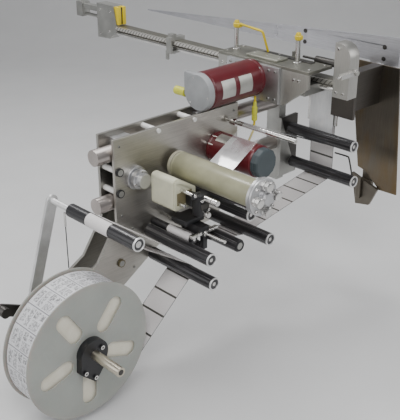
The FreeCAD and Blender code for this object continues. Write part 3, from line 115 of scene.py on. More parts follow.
class Shader:
    """A node material on one principled shader, with helpers for its detail."""

    def __init__(self, name, roughness=0.5, metallic=0.0):
        self.material = bpy.data.materials.new(name)
        self.material.use_nodes = True
        self.tree = self.material.node_tree
        self.principled = self.tree.nodes["Principled BSDF"]
        self.set("Roughness", roughness)
        self.set("Metallic", metallic)
        self.coordinates = self.tree.nodes.new("ShaderNodeTexCoord")

    def set(self, socket, value):
        self.principled.inputs[socket].default_value = value

    def link(self, output, target):
        self.tree.links.new(output, target)

    def mapped(self, stretch=(1, 1, 1), source="Object"):
        mapping = self.tree.nodes.new("ShaderNodeMapping")
        mapping.inputs["Scale"].default_value = stretch
        self.link(self.coordinates.outputs[source], mapping.inputs["Vector"])
        return mapping.outputs["Vector"]

    def noise(self, scale, detail=3.0, stretch=(1, 1, 1), source="Object", rough=0.55):
        node = self.tree.nodes.new("ShaderNodeTexNoise")
        node.inputs["Scale"].default_value = scale
        node.inputs["Detail"].default_value = detail
        node.inputs["Roughness"].default_value = rough
        self.link(self.mapped(stretch, source), node.inputs["Vector"])
        return node.outputs["Fac"]

    def split(self, source="Object"):
        """The three channels of a coordinate."""
        node = self.tree.nodes.new("ShaderNodeSeparateXYZ")
        self.link(self.mapped(source=source), node.inputs["Vector"])
        return node.outputs

    def ramp(self, value, stops):
        """Colours at positions. A single number is a grey."""
        node = self.tree.nodes.new("ShaderNodeValToRGB")
        elements = node.color_ramp.elements
        while len(elements) < len(stops):
            elements.new(0.5)
        for element, (position, colour) in zip(elements, stops):
            element.position = position
            element.color = (*(colour if isinstance(colour, tuple) else (colour,) * 3), 1.0)
        self.link(value, node.inputs["Fac"])
        return node.outputs["Color"]

    def math(self, operation, first, second=0.0):
        node = self.tree.nodes.new("ShaderNodeMath")
        node.operation = operation
        for index, value in enumerate((first, second)):
            if isinstance(value, (int, float)):
                node.inputs[index].default_value = value
            else:
                self.link(value, node.inputs[index])
        return node.outputs["Value"]

    def mix(self, factor, first, second, blend="MIX"):
        node = self.tree.nodes.new("ShaderNodeMix")
        node.data_type = "RGBA"
        node.blend_type = blend
        if isinstance(factor, (int, float)):
            node.inputs["Factor"].default_value = factor
        else:
            self.link(factor, node.inputs["Factor"])
        for socket, value in (("A", first), ("B", second)):
            target = [item for item in node.inputs if item.name == socket and item.type == "RGBA"][0]
            if isinstance(value, tuple):
                target.default_value = (*value, 1.0)
            else:
                self.link(value, target)
        return [item for item in node.outputs if item.type == "RGBA"][0]

    def colour(self, output):
        self.link(output, self.principled.inputs["Base Color"])

    def map_range(self, value, target, source=(0.0, 1.0)):
        """A value stretched from the source's span to the target's."""
        node = self.tree.nodes.new("ShaderNodeMapRange")
        for socket, number in zip(("From Min", "From Max", "To Min", "To Max"), (*source, *target)):
            node.inputs[socket].default_value = number
        self.link(value, node.inputs["Value"])
        return node.outputs["Result"]

    def roughness(self, value, low, high):
        self.link(self.map_range(value, (low, high)), self.principled.inputs["Roughness"])

    def bump(self, height, strength, distance):
        node = self.tree.nodes.new("ShaderNodeBump")
        node.inputs["Strength"].default_value = strength
        node.inputs["Distance"].default_value = distance
        self.link(height, node.inputs["Height"])
        self.link(node.outputs["Normal"], self.principled.inputs["Normal"])


def shade(colour, factor):
    return tuple(min(1.0, channel * factor) for channel in colour)


def grain_stretch(axis):
    """Fine across the grain and long along it."""
    return tuple(12.0 if letter == axis else 700.0 for letter in "XYZ")


def brushed_metal(name, colour, roughness, axis, painted_reflection=None, reflection_share=0.55):
    shader = Shader(name, roughness, 1.0)
    grain = shader.noise(1.0, 4.0, grain_stretch(axis), rough=0.7)
    clouds = shader.noise(7.0, 4.0)
    base = shader.ramp(grain, [(0.3, shade(colour, 0.78)), (0.7, shade(colour, 1.12))])
    wear_and_reflection = shader.mix(shader.ramp(clouds, [(0.35, 0.0), (0.75, 0.45)]), base, shade(colour, 0.62))
    # A brown painted reflection in tall streaks over part of the face, where one is given; the darker clouds
    # above are wear.
    if painted_reflection:
        soft = 0.12
        reflection_streaks = shader.noise(9.0, 5.0, (1.0, 1.0, 0.3))
        share = shader.ramp(reflection_streaks, [(reflection_share - soft, 0.0), (reflection_share + soft, 0.8)])
        wear_and_reflection = shader.mix(share, wear_and_reflection, painted_reflection)
    shader.colour(wear_and_reflection)
    shader.roughness(clouds, roughness - 0.08, roughness + 0.12)
    shader.bump(grain, 0.10, 0.0004)
    return shader.material


def machined_metal(name, colour, roughness):
    shader = Shader(name, roughness, 1.0)
    fine = shader.noise(900.0, 2.0)
    clouds = shader.noise(16.0, 4.0)
    base = shader.ramp(clouds, [(0.3, shade(colour, 0.8)), (0.7, shade(colour, 1.1))])
    shader.colour(shader.mix(shader.ramp(fine, [(0.45, 0.0), (0.8, 0.3)]), base, shade(colour, 0.6)))
    shader.roughness(clouds, roughness - 0.06, roughness + 0.1)
    shader.bump(fine, 0.06, 0.0003)
    return shader.material


def paint(name, colour, roughness, peel=0.05, dust=0.25, coat=0.0):
    shader = Shader(name, roughness)
    skin = shader.noise(420.0, 2.0)
    clouds = shader.noise(14.0, 5.0)
    base = shader.ramp(clouds, [(0.3, shade(colour, 0.82)), (0.7, shade(colour, 1.12))])
    specks = shader.ramp(shader.noise(260.0, 3.0), [(0.66, 0.0), (0.74, (dust,) * 3)])
    shader.colour(shader.mix(specks, base, shade(colour, 0.5)))
    shader.roughness(clouds, roughness - 0.05, roughness + 0.1)
    shader.bump(skin, peel, 0.0004)
    shader.set("Coat Weight", coat)
    shader.set("Coat Roughness", 0.12)
    return shader.material


def roller_rubber():
    """Black sleeve with fine lengthwise lines, part wear and part painted highlight streaks."""
    shader = Shader("black_sleeve", 0.32)
    wear_and_highlight_lines = shader.noise(1.0, 3.0, (520.0, 3.0, 520.0), rough=0.65)
    clouds = shader.noise(18.0, 4.0)
    # The palest lines are painted highlight streaks; the dim ones are wear.
    base = shader.ramp(wear_and_highlight_lines, [(0.35, (0.006, 0.006, 0.007)), (0.56, (0.020, 0.019, 0.022)),
                               (0.66, (0.11, 0.105, 0.11)), (0.76, (0.34, 0.33, 0.34))])
    shader.colour(base)
    shader.roughness(clouds, 0.22, 0.42)
    shader.bump(wear_and_highlight_lines, 0.12, 0.0004)
    shader.set("Specular IOR Level", 0.65)
    return shader.material


def paper_web():
    """Web with labels along its length. Its map runs in metres along and across the web."""
    shader = Shader("label_web_paper", 0.55)
    face = (0.80, 0.77, 0.76)
    pitch = LABEL_LONG + LABEL_GAP
    channels = shader.split("UV")
    phase = shader.math("FRACT", shader.math("DIVIDE", channels["X"], pitch))
    inside = shader.math("LESS_THAN", phase, LABEL_LONG / pitch)
    edge = shader.math("ABSOLUTE", shader.math("SUBTRACT", channels["Y"], WEB_WIDE / 2))
    narrow = shader.math("LESS_THAN", edge, WEB_WIDE / 2 - LABEL_MARGIN)
    inner = shader.math("MULTIPLY", inside, narrow)
    fibres = shader.noise(300.0, 4.0)
    sheet = shader.ramp(fibres, [(0.3, shade(face, 0.92)), (0.7, face)])
    liner = shader.ramp(fibres, [(0.3, (0.050, 0.046, 0.040)), (0.7, (0.085, 0.080, 0.070))])
    shader.colour(shader.mix(inner, liner, sheet))
    shader.bump(fibres, 0.05, 0.0002)
    return shader.material


def liner_paper():
    """Glossy empty liner, a thin film: opaque white towards both ends as painted glare, fading to see-through
    between them.
    """
    shader = Shader("liner_film", 0.12)
    waves = shader.noise(24.0, 4.0, (1.0, 6.0, 1.0))
    shader.colour(shader.ramp(waves, [(0.3, (0.84, 0.85, 0.87)), (0.7, (0.96, 0.96, 0.96))]))
    shader.roughness(waves, 0.05, 0.16)
    shader.bump(waves, 0.22, 0.0010)
    # Painted glare: alpha is full towards both ends of the film and low between them.
    glare_fade_start, glare_fade_end, far_glare_from = (PLATE_ORIGIN.x + x for x in (0.32, 0.47, 0.49))
    along = shader.split()["X"]
    place = shader.math("ADD", along, shader.math("MULTIPLY", shader.noise(16.0, 3.0), 0.10))
    share = shader.map_range(place, (1.0, 0.10), (glare_fade_start, glare_fade_end))
    far = shader.math("GREATER_THAN", along, far_glare_from)
    shader.link(shader.math("MAXIMUM", share, far), shader.principled.inputs["Alpha"])
    shader.set("Coat Weight", 0.7)
    shader.set("Specular IOR Level", 0.8)
    return shader.material


def wound_labels():
    """The outside of the label roll: label blanks with plain grey panels, seen through the liner."""
    shader = Shader("wound_labels", 0.45)
    channels = shader.split("UV")
    across = channels["Y"]
    fibres = shader.noise(220.0, 4.0)
    sheet = shader.ramp(fibres, [(0.3, (0.62, 0.62, 0.64)), (0.7, (0.78, 0.78, 0.80))])
    phase = shader.math("FRACT", shader.math("DIVIDE", channels["X"], LABEL_LONG))
    gap = shader.math("GREATER_THAN", phase, 0.955)
    colour = shader.mix(gap, sheet, (0.24, 0.24, 0.26))
    panels = ((0.05, 0.42, 0.030, 0.048, 0.10), (0.05, 0.88, 0.053, 0.069, 0.20),
              (0.47, 0.90, 0.010, 0.045, 0.26), (0.08, 0.36, 0.008, 0.024, 0.14),
              (0.14, 0.80, 0.074, 0.092, 0.18))
    for first, last, near, far, grey in panels:
        left = shader.math("GREATER_THAN", phase, first)
        right = shader.math("LESS_THAN", phase, last)
        low = shader.math("GREATER_THAN", across, near)
        high = shader.math("LESS_THAN", across, far)
        long_way = shader.math("MULTIPLY", left, right)
        box = shader.math("MULTIPLY", long_way, shader.math("MULTIPLY", low, high))
        specks = shader.ramp(shader.noise(190.0, 2.0), [(0.44, 0.05), (0.56, 0.80)])
        mottled = shader.math("MULTIPLY", box, specks)
        colour = shader.mix(mottled, colour, (grey, grey, grey * 1.03))
    shader.colour(colour)
    shader.bump(fibres, 0.05, 0.0002)
    return shader.material


def roll_side():
    """Cream edge of the wound paper with fine rings."""
    shader = Shader("roll_side", 0.7)
    centre = middle("label_roll")
    mapping = shader.tree.nodes.new("ShaderNodeMapping")
    mapping.inputs["Location"].default_value = (-centre.x, 0.0, -centre.z)
    mapping.inputs["Scale"].default_value = (1.0, 0.0, 1.0)
    shader.link(shader.coordinates.outputs["Object"], mapping.inputs["Vector"])
    length = shader.tree.nodes.new("ShaderNodeVectorMath")
    length.operation = "LENGTH"
    shader.link(mapping.outputs["Vector"], length.inputs[0])
    rings = shader.math("SINE", shader.math("MULTIPLY", length.outputs["Value"], 2600.0))
    clouds = shader.noise(24.0, 4.0)
    base = shader.ramp(clouds, [(0.3, (0.70, 0.66, 0.54)), (0.7, (0.82, 0.79, 0.68))])
    shader.colour(shader.mix(shader.ramp(rings, [(0.2, 0.0), (0.9, 0.25)]), base, (0.55, 0.51, 0.40)))
    shader.bump(rings, 0.15, 0.0004)
    return shader.material


def rack_steel():
    """Rack faces with oblique bands of painted highlight and painted shade, standing in for lit and shaded
    teeth.
    """
    shader = Shader("rack_steel", 0.34, 1.0)
    channels = shader.split()
    slant = shader.math("MULTIPLY", channels["Z"], 0.9)
    oblique = shader.math("ADD", channels["Y"], slant)
    phase = shader.math("SINE", shader.math("MULTIPLY", oblique, 380.0))
    share = shader.math("ADD", shader.math("MULTIPLY", phase, 0.5), 0.5)
    # Pale bands are painted highlight, dark bands painted shade.
    tooth_light_bands = shader.ramp(share, [(0.06, (0.42, 0.40, 0.36)), (0.34, (0.92, 0.90, 0.85))])
    fine = shader.noise(500.0, 3.0)
    shader.colour(shader.mix(shader.ramp(fine, [(0.45, 0.0), (0.8, 0.35)]), tooth_light_bands, (0.30, 0.28, 0.25)))
    shader.bump(share, 0.35, 0.0006)
    return shader.material


def reel_plastic():
    shader = Shader("reel_plastic", 0.38)
    clouds = shader.noise(9.0, 5.0)
    scratches = shader.noise(1.0, 3.0, (260.0, 8.0, 40.0), rough=0.7)
    base = shader.ramp(clouds, [(0.3, (0.315, 0.325, 0.30)), (0.7, (0.375, 0.385, 0.355))])
    marks = shader.ramp(scratches, [(0.62, 0.0), (0.78, 0.30)])
    shader.colour(shader.mix(marks, base, (0.62, 0.62, 0.61)))
    shader.roughness(clouds, 0.30, 0.48)
    shader.bump(scratches, 0.06, 0.0003)
    shader.set("Subsurface Weight", 0.08)
    return shader.material


STEEL = brushed_metal("plate_steel", (0.52, 0.50, 0.46), 0.36, "X")
REAR_STEEL = brushed_metal("rear_steel", (0.42, 0.41, 0.38), 0.40, "X")
ARM_STEEL = brushed_metal("arm_steel", (0.70, 0.70, 0.74), 0.42, "Y")
# The side panel's brown tint is a painted reflection.
SIDE_STEEL = brushed_metal("side_steel", (0.19, 0.17, 0.14), 0.34, "Z", (0.20, 0.13, 0.05), 0.52)
TUBE_STEEL = brushed_metal("tube_steel", (0.12, 0.11, 0.10), 0.42, "X")
BEAM_STEEL = brushed_metal("beam_steel", (0.30, 0.29, 0.25), 0.42, "Y")
BLOCK_STEEL = brushed_metal("block_steel", (0.56, 0.55, 0.52), 0.42, "Z")
ALUMINIUM = machined_metal("aluminium", (0.60, 0.60, 0.61), 0.40)
DULL_ALUMINIUM = machined_metal("dull_aluminium", (0.44, 0.44, 0.42), 0.50)
BRIGHT = machined_metal("bright_steel", (0.74, 0.73, 0.71), 0.22)
DARK_METAL = machined_metal("dark_metal", (0.10, 0.095, 0.09), 0.42)
# Near-white paint on the tie rods, standing in for their bright highlight: a painted highlight.
HIGHLIGHT_WHITE = paint("highlight_white_bar", (0.82, 0.81, 0.79), 0.22, 0.02, 0.05)
TOP_STEEL = machined_metal("top_steel", (0.30, 0.295, 0.26), 0.46)
COVER_STEEL = machined_metal("cover_steel", (0.46, 0.46, 0.40), 0.48)
RING_STEEL = machined_metal("ring_steel", (0.92, 0.92, 0.92), 0.46)
BAR_STEEL = machined_metal("bar_steel", (0.50, 0.455, 0.43), 0.30)
LEVER_ALUMINIUM = machined_metal("lever_aluminium", (0.80, 0.80, 0.80), 0.52)
SHAFT_STEEL = machined_metal("shaft_steel", (0.62, 0.57, 0.47), 0.30)
FOOT_STEEL = machined_metal("foot_steel", (0.20, 0.18, 0.15), 0.45)
RACK_STEEL = rack_steel()
RED = paint("red_paint", (0.105, 0.0022, 0.0075), 0.36, 0.04, 0.15, 0.18)
GREY_CAP = paint("grey_cap", (0.34, 0.35, 0.36), 0.46)
BLUE_CAP = paint("blue_grey_cap", (0.050, 0.066, 0.074), 0.42)
CREAM = paint("cream_housing", (0.66, 0.65, 0.49), 0.40, 0.03, 0.12)
TAN = paint("tan_recess", (0.20, 0.17, 0.09), 0.5)
DRUM_COLLAR = paint("drum_collar", (0.42, 0.40, 0.30), 0.38, 0.05, 0.15)
DRUM_CREAM = paint("drum_cream", (0.34, 0.33, 0.215), 0.36, 0.06, 0.15, 0.2)
YELLOW = paint("yellow_plastic", (0.70, 0.53, 0.012), 0.38, 0.03, 0.15)
GREEN_YELLOW = paint("gland_yellow", (0.62, 0.62, 0.06), 0.4)
BLACK = paint("black_plastic", (0.014, 0.014, 0.016), 0.36, 0.05, 0.1)
PLATE_WHITE = machined_metal("name_plate", (0.66, 0.66, 0.62), 0.42)
SLEEVE = roller_rubber()
WEB = paper_web()
LINER = liner_paper()
WOUND = wound_labels()
ROLL_SIDE = roll_side()
REEL = reel_plastic()

NODE_MATERIALS = (
    (ARM_STEEL, ("frame_arm_plate",)),
    (SIDE_STEEL, ("side_panel",)),
    (TUBE_STEEL, ("cross_bracket",)),
    (BLOCK_STEEL, ("end_block", "carriage_side")),
    (BEAM_STEEL, ("rack_beam",)),
    (RACK_STEEL, ("gear_rack",)),
    (BRIGHT, ("panel_spacers", "guide_shafts", "clamp_lever", "roller_axles", "drive_pinion",
              "thin_roller", "peel_plate")),
    (DULL_ALUMINIUM, ("far_end_block", "stop_collar", "stop_latch", "bearing_blocks", "hanger_post")),
    (YELLOW, ("end_bumper",)),
    (FOOT_STEEL, ("lower_bracket",)),
    (DARK_METAL, ("shock_absorber",)),
    (TOP_STEEL, ("carriage_plate",)),
    (ALUMINIUM, ("motor_flange", "bar_clamps", "rewind_pulley")),
    (BAR_STEEL, ("support_bars",)),
    (STEEL, ("front_plate",)),
    (REAR_STEEL, ("rear_plate",)),
    (HIGHLIGHT_WHITE, ("tie_rods",)),
    (BLACK, ("rewind_belt", "hub_clamp")),
    (SLEEVE, ("nip_roller",)),
    (LEVER_ALUMINIUM, ("dancer_arm",)),
    (SHAFT_STEEL, ("reel_shaft",)),
    (REEL, ("reel_flanges",)),
    (CREAM, ("actuator_housing",)),
)


def soften(piece):
    """Small chamfers on the edges of a piece, so that they catch the light."""
    weld = piece.modifiers.new("weld", "WELD")
    weld.merge_threshold = 0.00001
    bevel = piece.modifiers.new("bevel", "BEVEL")
    bevel.width = 0.0008
    bevel.segments = 2
    bevel.limit_method = "ANGLE"
    bevel.angle_limit = math.radians(35)


def only_material(name, material):
    """One material on the whole of a node."""
    mesh = NODES[name].data
    mesh.materials.clear()
    mesh.materials.append(material)


def dress_nodes():
    """Materials on the nodes that keep their shape, and chamfers on all but the toothed ones."""
    for material, names in NODE_MATERIALS:
        for name in names:
            only_material(name, material)
            if name not in ("gear_rack", "drive_pinion"):
                soften(NODES[name])
    second_material("hanger_post", DARK_METAL, lambda spot: spot.x > PLATE_ORIGIN.x + 0.786)
    second_material("dancer_arm", DARK_METAL, lambda spot: spot.x < PLATE_ORIGIN.x - 0.27)
    panel_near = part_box("side_panel")[0].y
    second_material("side_panel", DULL_ALUMINIUM, lambda spot: spot.y < panel_near + 0.0005)


def second_material(name, material, chosen):
    """Another material on the faces of a node whose middles are chosen."""
    mesh = NODES[name].data
    mesh.materials.append(material)
    for face in mesh.polygons:
        if chosen(face.center):
            face.material_index = 1


# Pieces built here


def place(name, data):
    """A new object in the scene."""
    piece = bpy.data.objects.new(name, data)
    bpy.context.scene.collection.objects.link(piece)
    return piece


def add(name, bm, materials, body, smooth_angle=35):
    """A mesh piece from its bmesh, which rides on a body where one is given."""
    mesh = bpy.data.meshes.new(name)
    bmesh.ops.recalc_face_normals(bm, faces=bm.faces)
    bm.to_mesh(mesh)
    bm.free()
    for material in materials:
        mesh.materials.append(material)
    mesh.shade_smooth()
    mesh.set_sharp_from_angle(angle=math.radians(smooth_angle))
    piece = place(name, mesh)
    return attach(piece, body) if body else piece


AXES = {
    "X": Matrix.Rotation(math.radians(90), 3, "Y"),
    "Y": Matrix.Rotation(math.radians(-90), 3, "X"),
    "Z": Matrix.Identity(3),
}


def bridge(bm, rows, material):
    """Faces between closed rows of vertices."""
    for first, second in zip(rows, rows[1:]):
        for index in range(len(first)):
            after = (index + 1) % len(first)
            corners = (first[index], first[after], second[after], second[index])
            bm.faces.new(corners).material_index = material


def close_rows(bm, rows, material):
    """Faces between rows of vertices, with both ends closed."""
    bridge(bm, rows, material)
    for row in (rows[0], rows[-1]):
        bm.faces.new(row).material_index = material


def lathe(bm, start, axis, profile, material=0, segments=48, turn=0.0):
    """Turn a profile of (distance, radius) pairs round an axis that starts at a point."""
    basis = AXES[axis]
    rings = []
    for distance, radius in profile:
        ring = []
        for index in range(segments):
            angle = turn + 2 * math.pi * index / segments
            spot = Vector((radius * math.cos(angle), radius * math.sin(angle), distance))
            ring.append(bm.verts.new(start + basis @ spot))
        rings.append(ring)
    close_rows(bm, rings, material)


def slab(bm, low, high, material=0, round_off=0.0):
    """A box with softened edges."""
    made = bmesh.ops.create_cube(bm, size=1.0)["verts"]
    centre = (low + high) / 2
    span = high - low
    for vert in made:
        vert.co = centre + Vector((vert.co.x * span.x, vert.co.y * span.y, vert.co.z * span.z))
    faces = {face for vert in made for face in vert.link_faces}
    for face in faces:
        face.material_index = material
    if round_off:
        edges = {edge for vert in made for edge in vert.link_edges}
        result = bmesh.ops.bevel(bm, geom=list(edges), offset=round_off, segments=3, affect="EDGES",
                                 profile=0.5)
        for face in result["faces"]:
            face.material_index = material


def near_screw(bm, spot, radius, tall, material=0, socket=1, axis="Y", segments=24):
    """A socket head screw, its head standing back along the axis; its socket is a dark hex, painted shade for
    the hole.
    """
    lathe(bm, spot, axis, [(0.0, radius), (-tall * 0.85, radius), (-tall, radius * 0.85),
                           (-tall, radius * 0.5)], material, segments)
    # The dark hex is painted shade for the socket's hole.
    lathe(bm, spot, axis, [(-tall * 0.3, radius * 0.5), (-tall * 1.02, radius * 0.5)], socket, 6)


def left_screw(bm, spot, radius, tall):
    near_screw(bm, spot, radius, tall, axis="X", segments=20)


def top_screw(bm, spot, radius, tall, material=0, socket=1):
    near_screw(bm, spot, radius, -tall, material, socket, "Z")


def roller(node, recess=True):
    """A black sleeve with a bright end ring and the face of its bearing."""
    start, radius, long = round_node(node)
    sleeve, bright, dark, black, dull, ring = range(6)
    bm = bmesh.new()
    rim = radius * 0.05
    ring_in = radius * 0.80
    lathe(bm, start, "Y", [(0.004, radius - rim), (0.004 + rim, radius), (long - rim, radius),
                           (long, radius - rim), (long, radius * 0.4)], sleeve)
    if recess:
        lathe(bm, start, "Y", [(0.006, ring_in), (0.001, ring_in), (0.0, ring_in + rim), (0.0, radius - rim),
                               (0.001, radius - rim * 0.2), (0.006, radius - rim * 0.2)], ring)
        lathe(bm, start, "Y", [(0.0062, ring_in + 0.001), (0.0060, radius * 0.30)], dark)
        lathe(bm, start, "Y", [(0.0060, radius * 0.58), (0.0042, radius * 0.56), (0.0042, radius * 0.46),
                               (0.0060, radius * 0.44)], dull, 32)
        lathe(bm, start, "Y", [(0.008, radius * 0.30), (0.0035, radius * 0.30), (0.0028, radius * 0.24),
                               (0.0028, radius * 0.10)], bright, 24)
    else:
        lathe(bm, start, "Y", [(0.006, radius * 0.9), (0.0, radius * 0.84), (0.0, radius * 0.62),
                               (0.0020, radius * 0.60)], black)
        lathe(bm, start, "Y", [(0.0030, radius * 0.56), (0.0008, radius * 0.54), (0.0004, radius * 0.48)],
              dull, 32)
    materials = [SLEEVE, BRIGHT, DARK_METAL, BLACK, DULL_ALUMINIUM, RING_STEEL]
    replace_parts(add(node + "_sleeve", bm, materials, BODY_OF[node]), node)


def rollers():
    for node in ("infeed_roller", "supply_roller", "second_guide_roller", "third_guide_roller",
                 "upper_peel_roller", "lower_peel_roller", "dancer_roller"):
        roller(node)
    roller("first_guide_roller", False)


RUN_STEPS = 24
WRAP_STEP = 0.12


def run_ends(first, second):
    """Ends of the straight run between two stops. A stop is x, z and its radius, which is positive
    where the web goes round it counter-clockwise as seen by the viewer."""
    distance = math.hypot(second[0] - first[0], second[1] - first[1])
    angle = math.atan2(second[1] - first[1], second[0] - first[0])
    angle -= math.asin((second[2] - first[2]) / distance)
    side = (-math.sin(angle), math.cos(angle))
    start = (first[0] - first[2] * side[0], first[1] - first[2] * side[1])
    finish = (second[0] - second[2] * side[0], second[1] - second[2] * side[1])
    return start, finish


def stop(node, turn):
    """A roller as a stop of the web, with the web's clearance added."""
    centre, radius, _ = round_node(node)
    return centre.x, centre.z, turn * (radius + WEB_CLEARANCE)


def web_path(stops, items):
    """Points along a stretch of web: straight runs, and arcs round its rollers."""
    points = []
    for kind, index in items:
        if kind == "run":
            start, finish = run_ends(stops[index], stops[index + 1])
            for step in range(RUN_STEPS + 1):
                share = step / RUN_STEPS
                points.append((start[0] + (finish[0] - start[0]) * share,
                               start[1] + (finish[1] - start[1]) * share))
            continue
        centre_x, centre_z, turn = stops[index]
        start = run_ends(stops[index - 1], stops[index])[1]
        finish = run_ends(stops[index], stops[index + 1])[0]
        first = math.atan2(start[1] - centre_z, start[0] - centre_x)
        last = math.atan2(finish[1] - centre_z, finish[0] - centre_x)
        sweep = (last - first) % (2 * math.pi)
        if turn < 0:
            sweep = -((first - last) % (2 * math.pi))
        count = max(3, int(abs(sweep) / WRAP_STEP))
        for step in range(count + 1):
            angle = first + sweep * step / count
            points.append((centre_x + abs(turn) * math.cos(angle), centre_z + abs(turn) * math.sin(angle)))
    return points


def strip(bm, points, near, far, start_along=0.0):
    """A thin sheet along points, with a map in metres along and across it."""
    layer = bm.loops.layers.uv.verify()
    along = start_along
    before = None
    clean = [points[0]]
    for point in points[1:]:
        if math.dist(point, clean[-1]) > 1e-5:
            clean.append(point)
    for index, point in enumerate(clean):
        ahead = clean[min(index + 1, len(clean) - 1)]
        behind = clean[max(index - 1, 0)]
        way = Vector((ahead[0] - behind[0], ahead[1] - behind[1])).normalized()
        side = Vector((-way.y, way.x)) * WEB_HALF_THICK
        if index:
            along += math.dist(clean[index - 1], point)
        row = []
        for sign in (1, -1):
            for y in (near, far):
                spot = Vector((point[0] + side.x * sign, y, point[1] + side.y * sign))
                row.append((bm.verts.new(spot), along, y - near))
        if before:
            for first, second in ((0, 1), (3, 2), (1, 3), (2, 0)):
                corners = (before[first], before[second], row[second], row[first])
                face = bm.faces.new([corner[0] for corner in corners])
                for loop, corner in zip(face.loops, corners):
                    loop[layer].uv = (corner[1], corner[2])
        before = row
    return along


def web_stops():
    """The stops of the web from the label roll to the drum, and one beyond to end the last wrap."""
    tip_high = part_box("peel_plate")[1]
    drum_stop = stop("rewind_drum", -1)
    return [
        stop("label_roll", 1),
        stop("supply_roller", 1),
        stop("dancer_roller", -1),
        stop("infeed_roller", 1),
        stop("nip_roller", -1),
        stop("first_guide_roller", 1),
        stop("second_guide_roller", 1),
        stop("lower_peel_roller", 1),
        (tip_high.x - 0.0035, tip_high.z + 0.003, 0.0065),
        stop("upper_peel_roller", -1),
        stop("thin_roller", 1),
        drum_stop,
        (drum_stop[0] + 4 * drum_stop[2], drum_stop[1], 0.0),
    ]


def webs():
    """The label web in its two stretches, the loop round the dancer, and the empty liner."""
    feed_start = 1.2
    stops = web_stops()
    low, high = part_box("liner_web")
    near, far = low.y, high.y
    bm = bmesh.new()
    along = strip(bm, web_path(stops, [("run", 0), ("wrap", 1)]), near, far)
    feed = [("wrap", 3)]
    for index in range(3, 7):
        feed += [("run", index), ("wrap", index + 1)]
    strip(bm, web_path(stops, feed + [("run", 7)]), near, far, feed_start)
    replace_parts(add("label_strip", bm, [WEB], "carriage", 60), "label_web")
    bm = bmesh.new()
    strip(bm, web_path(stops, [("run", 1), ("wrap", 2), ("run", 2)]), near, far, along)
    loop = add("dancer_strip", bm, [WEB], None, 60)
    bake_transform(loop)
    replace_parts(loop, "dancer_web")
    bm = bmesh.new()
    liner = [("wrap", 8), ("run", 8), ("wrap", 9), ("run", 9), ("wrap", 10), ("run", 10), ("wrap", 11)]
    strip(bm, web_path(stops, liner), near, far)
    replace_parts(add("liner_strip", bm, [LINER], "carriage", 60), "liner_web")


def label_roll():
    """The wound labels, with a map in metres round and across the outside."""
    low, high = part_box("label_roll")
    centre = (low + high) / 2
    outer = (high.x - low.x) / 2
    inner = 0.038
    bm = bmesh.new()
    layer = bm.loops.layers.uv.verify()
    segments = 160
    profile = [(low.y, inner), (low.y, outer - 0.0006), (low.y + 0.0006, outer), (high.y - 0.0006, outer),
               (high.y, outer - 0.0006), (high.y, inner)]
    rings = []
    for y, radius in profile:
        ring = []
        for index in range(segments):
            angle = 2 * math.pi * index / segments
            ring.append(bm.verts.new((centre.x + radius * math.cos(angle), y,
                                      centre.z + radius * math.sin(angle))))
        rings.append(ring)
    for row in range(len(rings)):
        first, second = rings[row], rings[(row + 1) % len(rings)]
        for index in range(segments):
            after = (index + 1) % segments
            face = bm.faces.new((first[index], first[after], second[after], second[index]))
            face.material_index = 0 if row == 2 else 1
            arc = 2 * math.pi * outer / segments
            spots = ((index, 0.0), (index + 1, 0.0), (index + 1, high.y - low.y), (index, high.y - low.y))
            for loop, (step, across) in zip(face.loops, spots):
                loop[layer].uv = (step * arc, across)
    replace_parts(add("wound_roll", bm, [WOUND, ROLL_SIDE], "reel"), "label_roll")


def traverse_motor():
    low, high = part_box("traverse_motor")
    cap_low, cap_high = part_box("traverse_motor_cap")
    flange_low, flange_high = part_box("motor_flange")
    radius = (high.z - low.z) / 2
    centre = Vector((low.x, (low.y + high.y) / 2, (low.z + high.z) / 2))
    long = high.x - low.x
    bm = bmesh.new()
    lathe(bm, centre, "X", [(0.0, radius * 0.94), (0.002, radius * 0.97), (0.006, radius * 0.97),
                            (0.008, radius), (long - 0.016, radius), (long - 0.014, radius * 0.975),
                            (long - 0.011, radius * 0.975), (long - 0.009, radius), (long, radius)], 0, 96)
    plate_long = 0.058
    for start in (0.034, 0.112):
        curved_plate(bm, "X", centre, radius, (start, start + plate_long), (145, 200), 12)
    for angle in (45, 135, 225, 315):
        lathe(bm, centre + way_round("X", angle) * radius * 0.92 + Vector((long - 0.022, 0, 0)), "X",
              [(0.0, 0.0030), (0.002, 0.0046), (0.018, 0.0046)], 2, 16)
    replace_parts(add("traverse_motor_body", bm, [RED, PLATE_WHITE, BRIGHT], "carriage"), "traverse_motor")
    bm = bmesh.new()
    cap_long = cap_high.x - cap_low.x
    start = Vector((cap_low.x, centre.y, centre.z))
    lathe(bm, start, "X", [(0.0, radius * 0.3), (0.0, radius * 0.93), (0.0035, radius * 0.975),
                           (cap_long - 0.001, radius * 0.99)], 0, 96)
    slab(bm, Vector((cap_low.x + 0.0008, centre.y, centre.z - radius * 0.32)),
         Vector((cap_high.x - 0.0005, cap_high.y, cap_high.z - 0.003)), 0, 0.004)
    for angle in (70, 190, 310):
        lathe(bm, start + way_round("X", angle) * radius * 0.78 + Vector((-0.0005, 0, 0)), "X",
              [(0.0, 0.0030), (0.003, 0.0034)], 1, 12)
    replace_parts(add("traverse_cap", bm, [GREY_CAP, BRIGHT], "carriage"), "traverse_motor_cap")
    bm = bmesh.new()
    for y in (flange_low.y + 0.016, flange_high.y - 0.016, centre.y - 0.072, centre.y + 0.072):
        for z in (flange_low.z + 0.014, flange_high.z - 0.014):
            left_screw(bm, Vector((flange_low.x, y, z)), 0.0050, 0.0035)
    add("flange_screws", bm, [DULL_ALUMINIUM, DARK_METAL], "carriage")


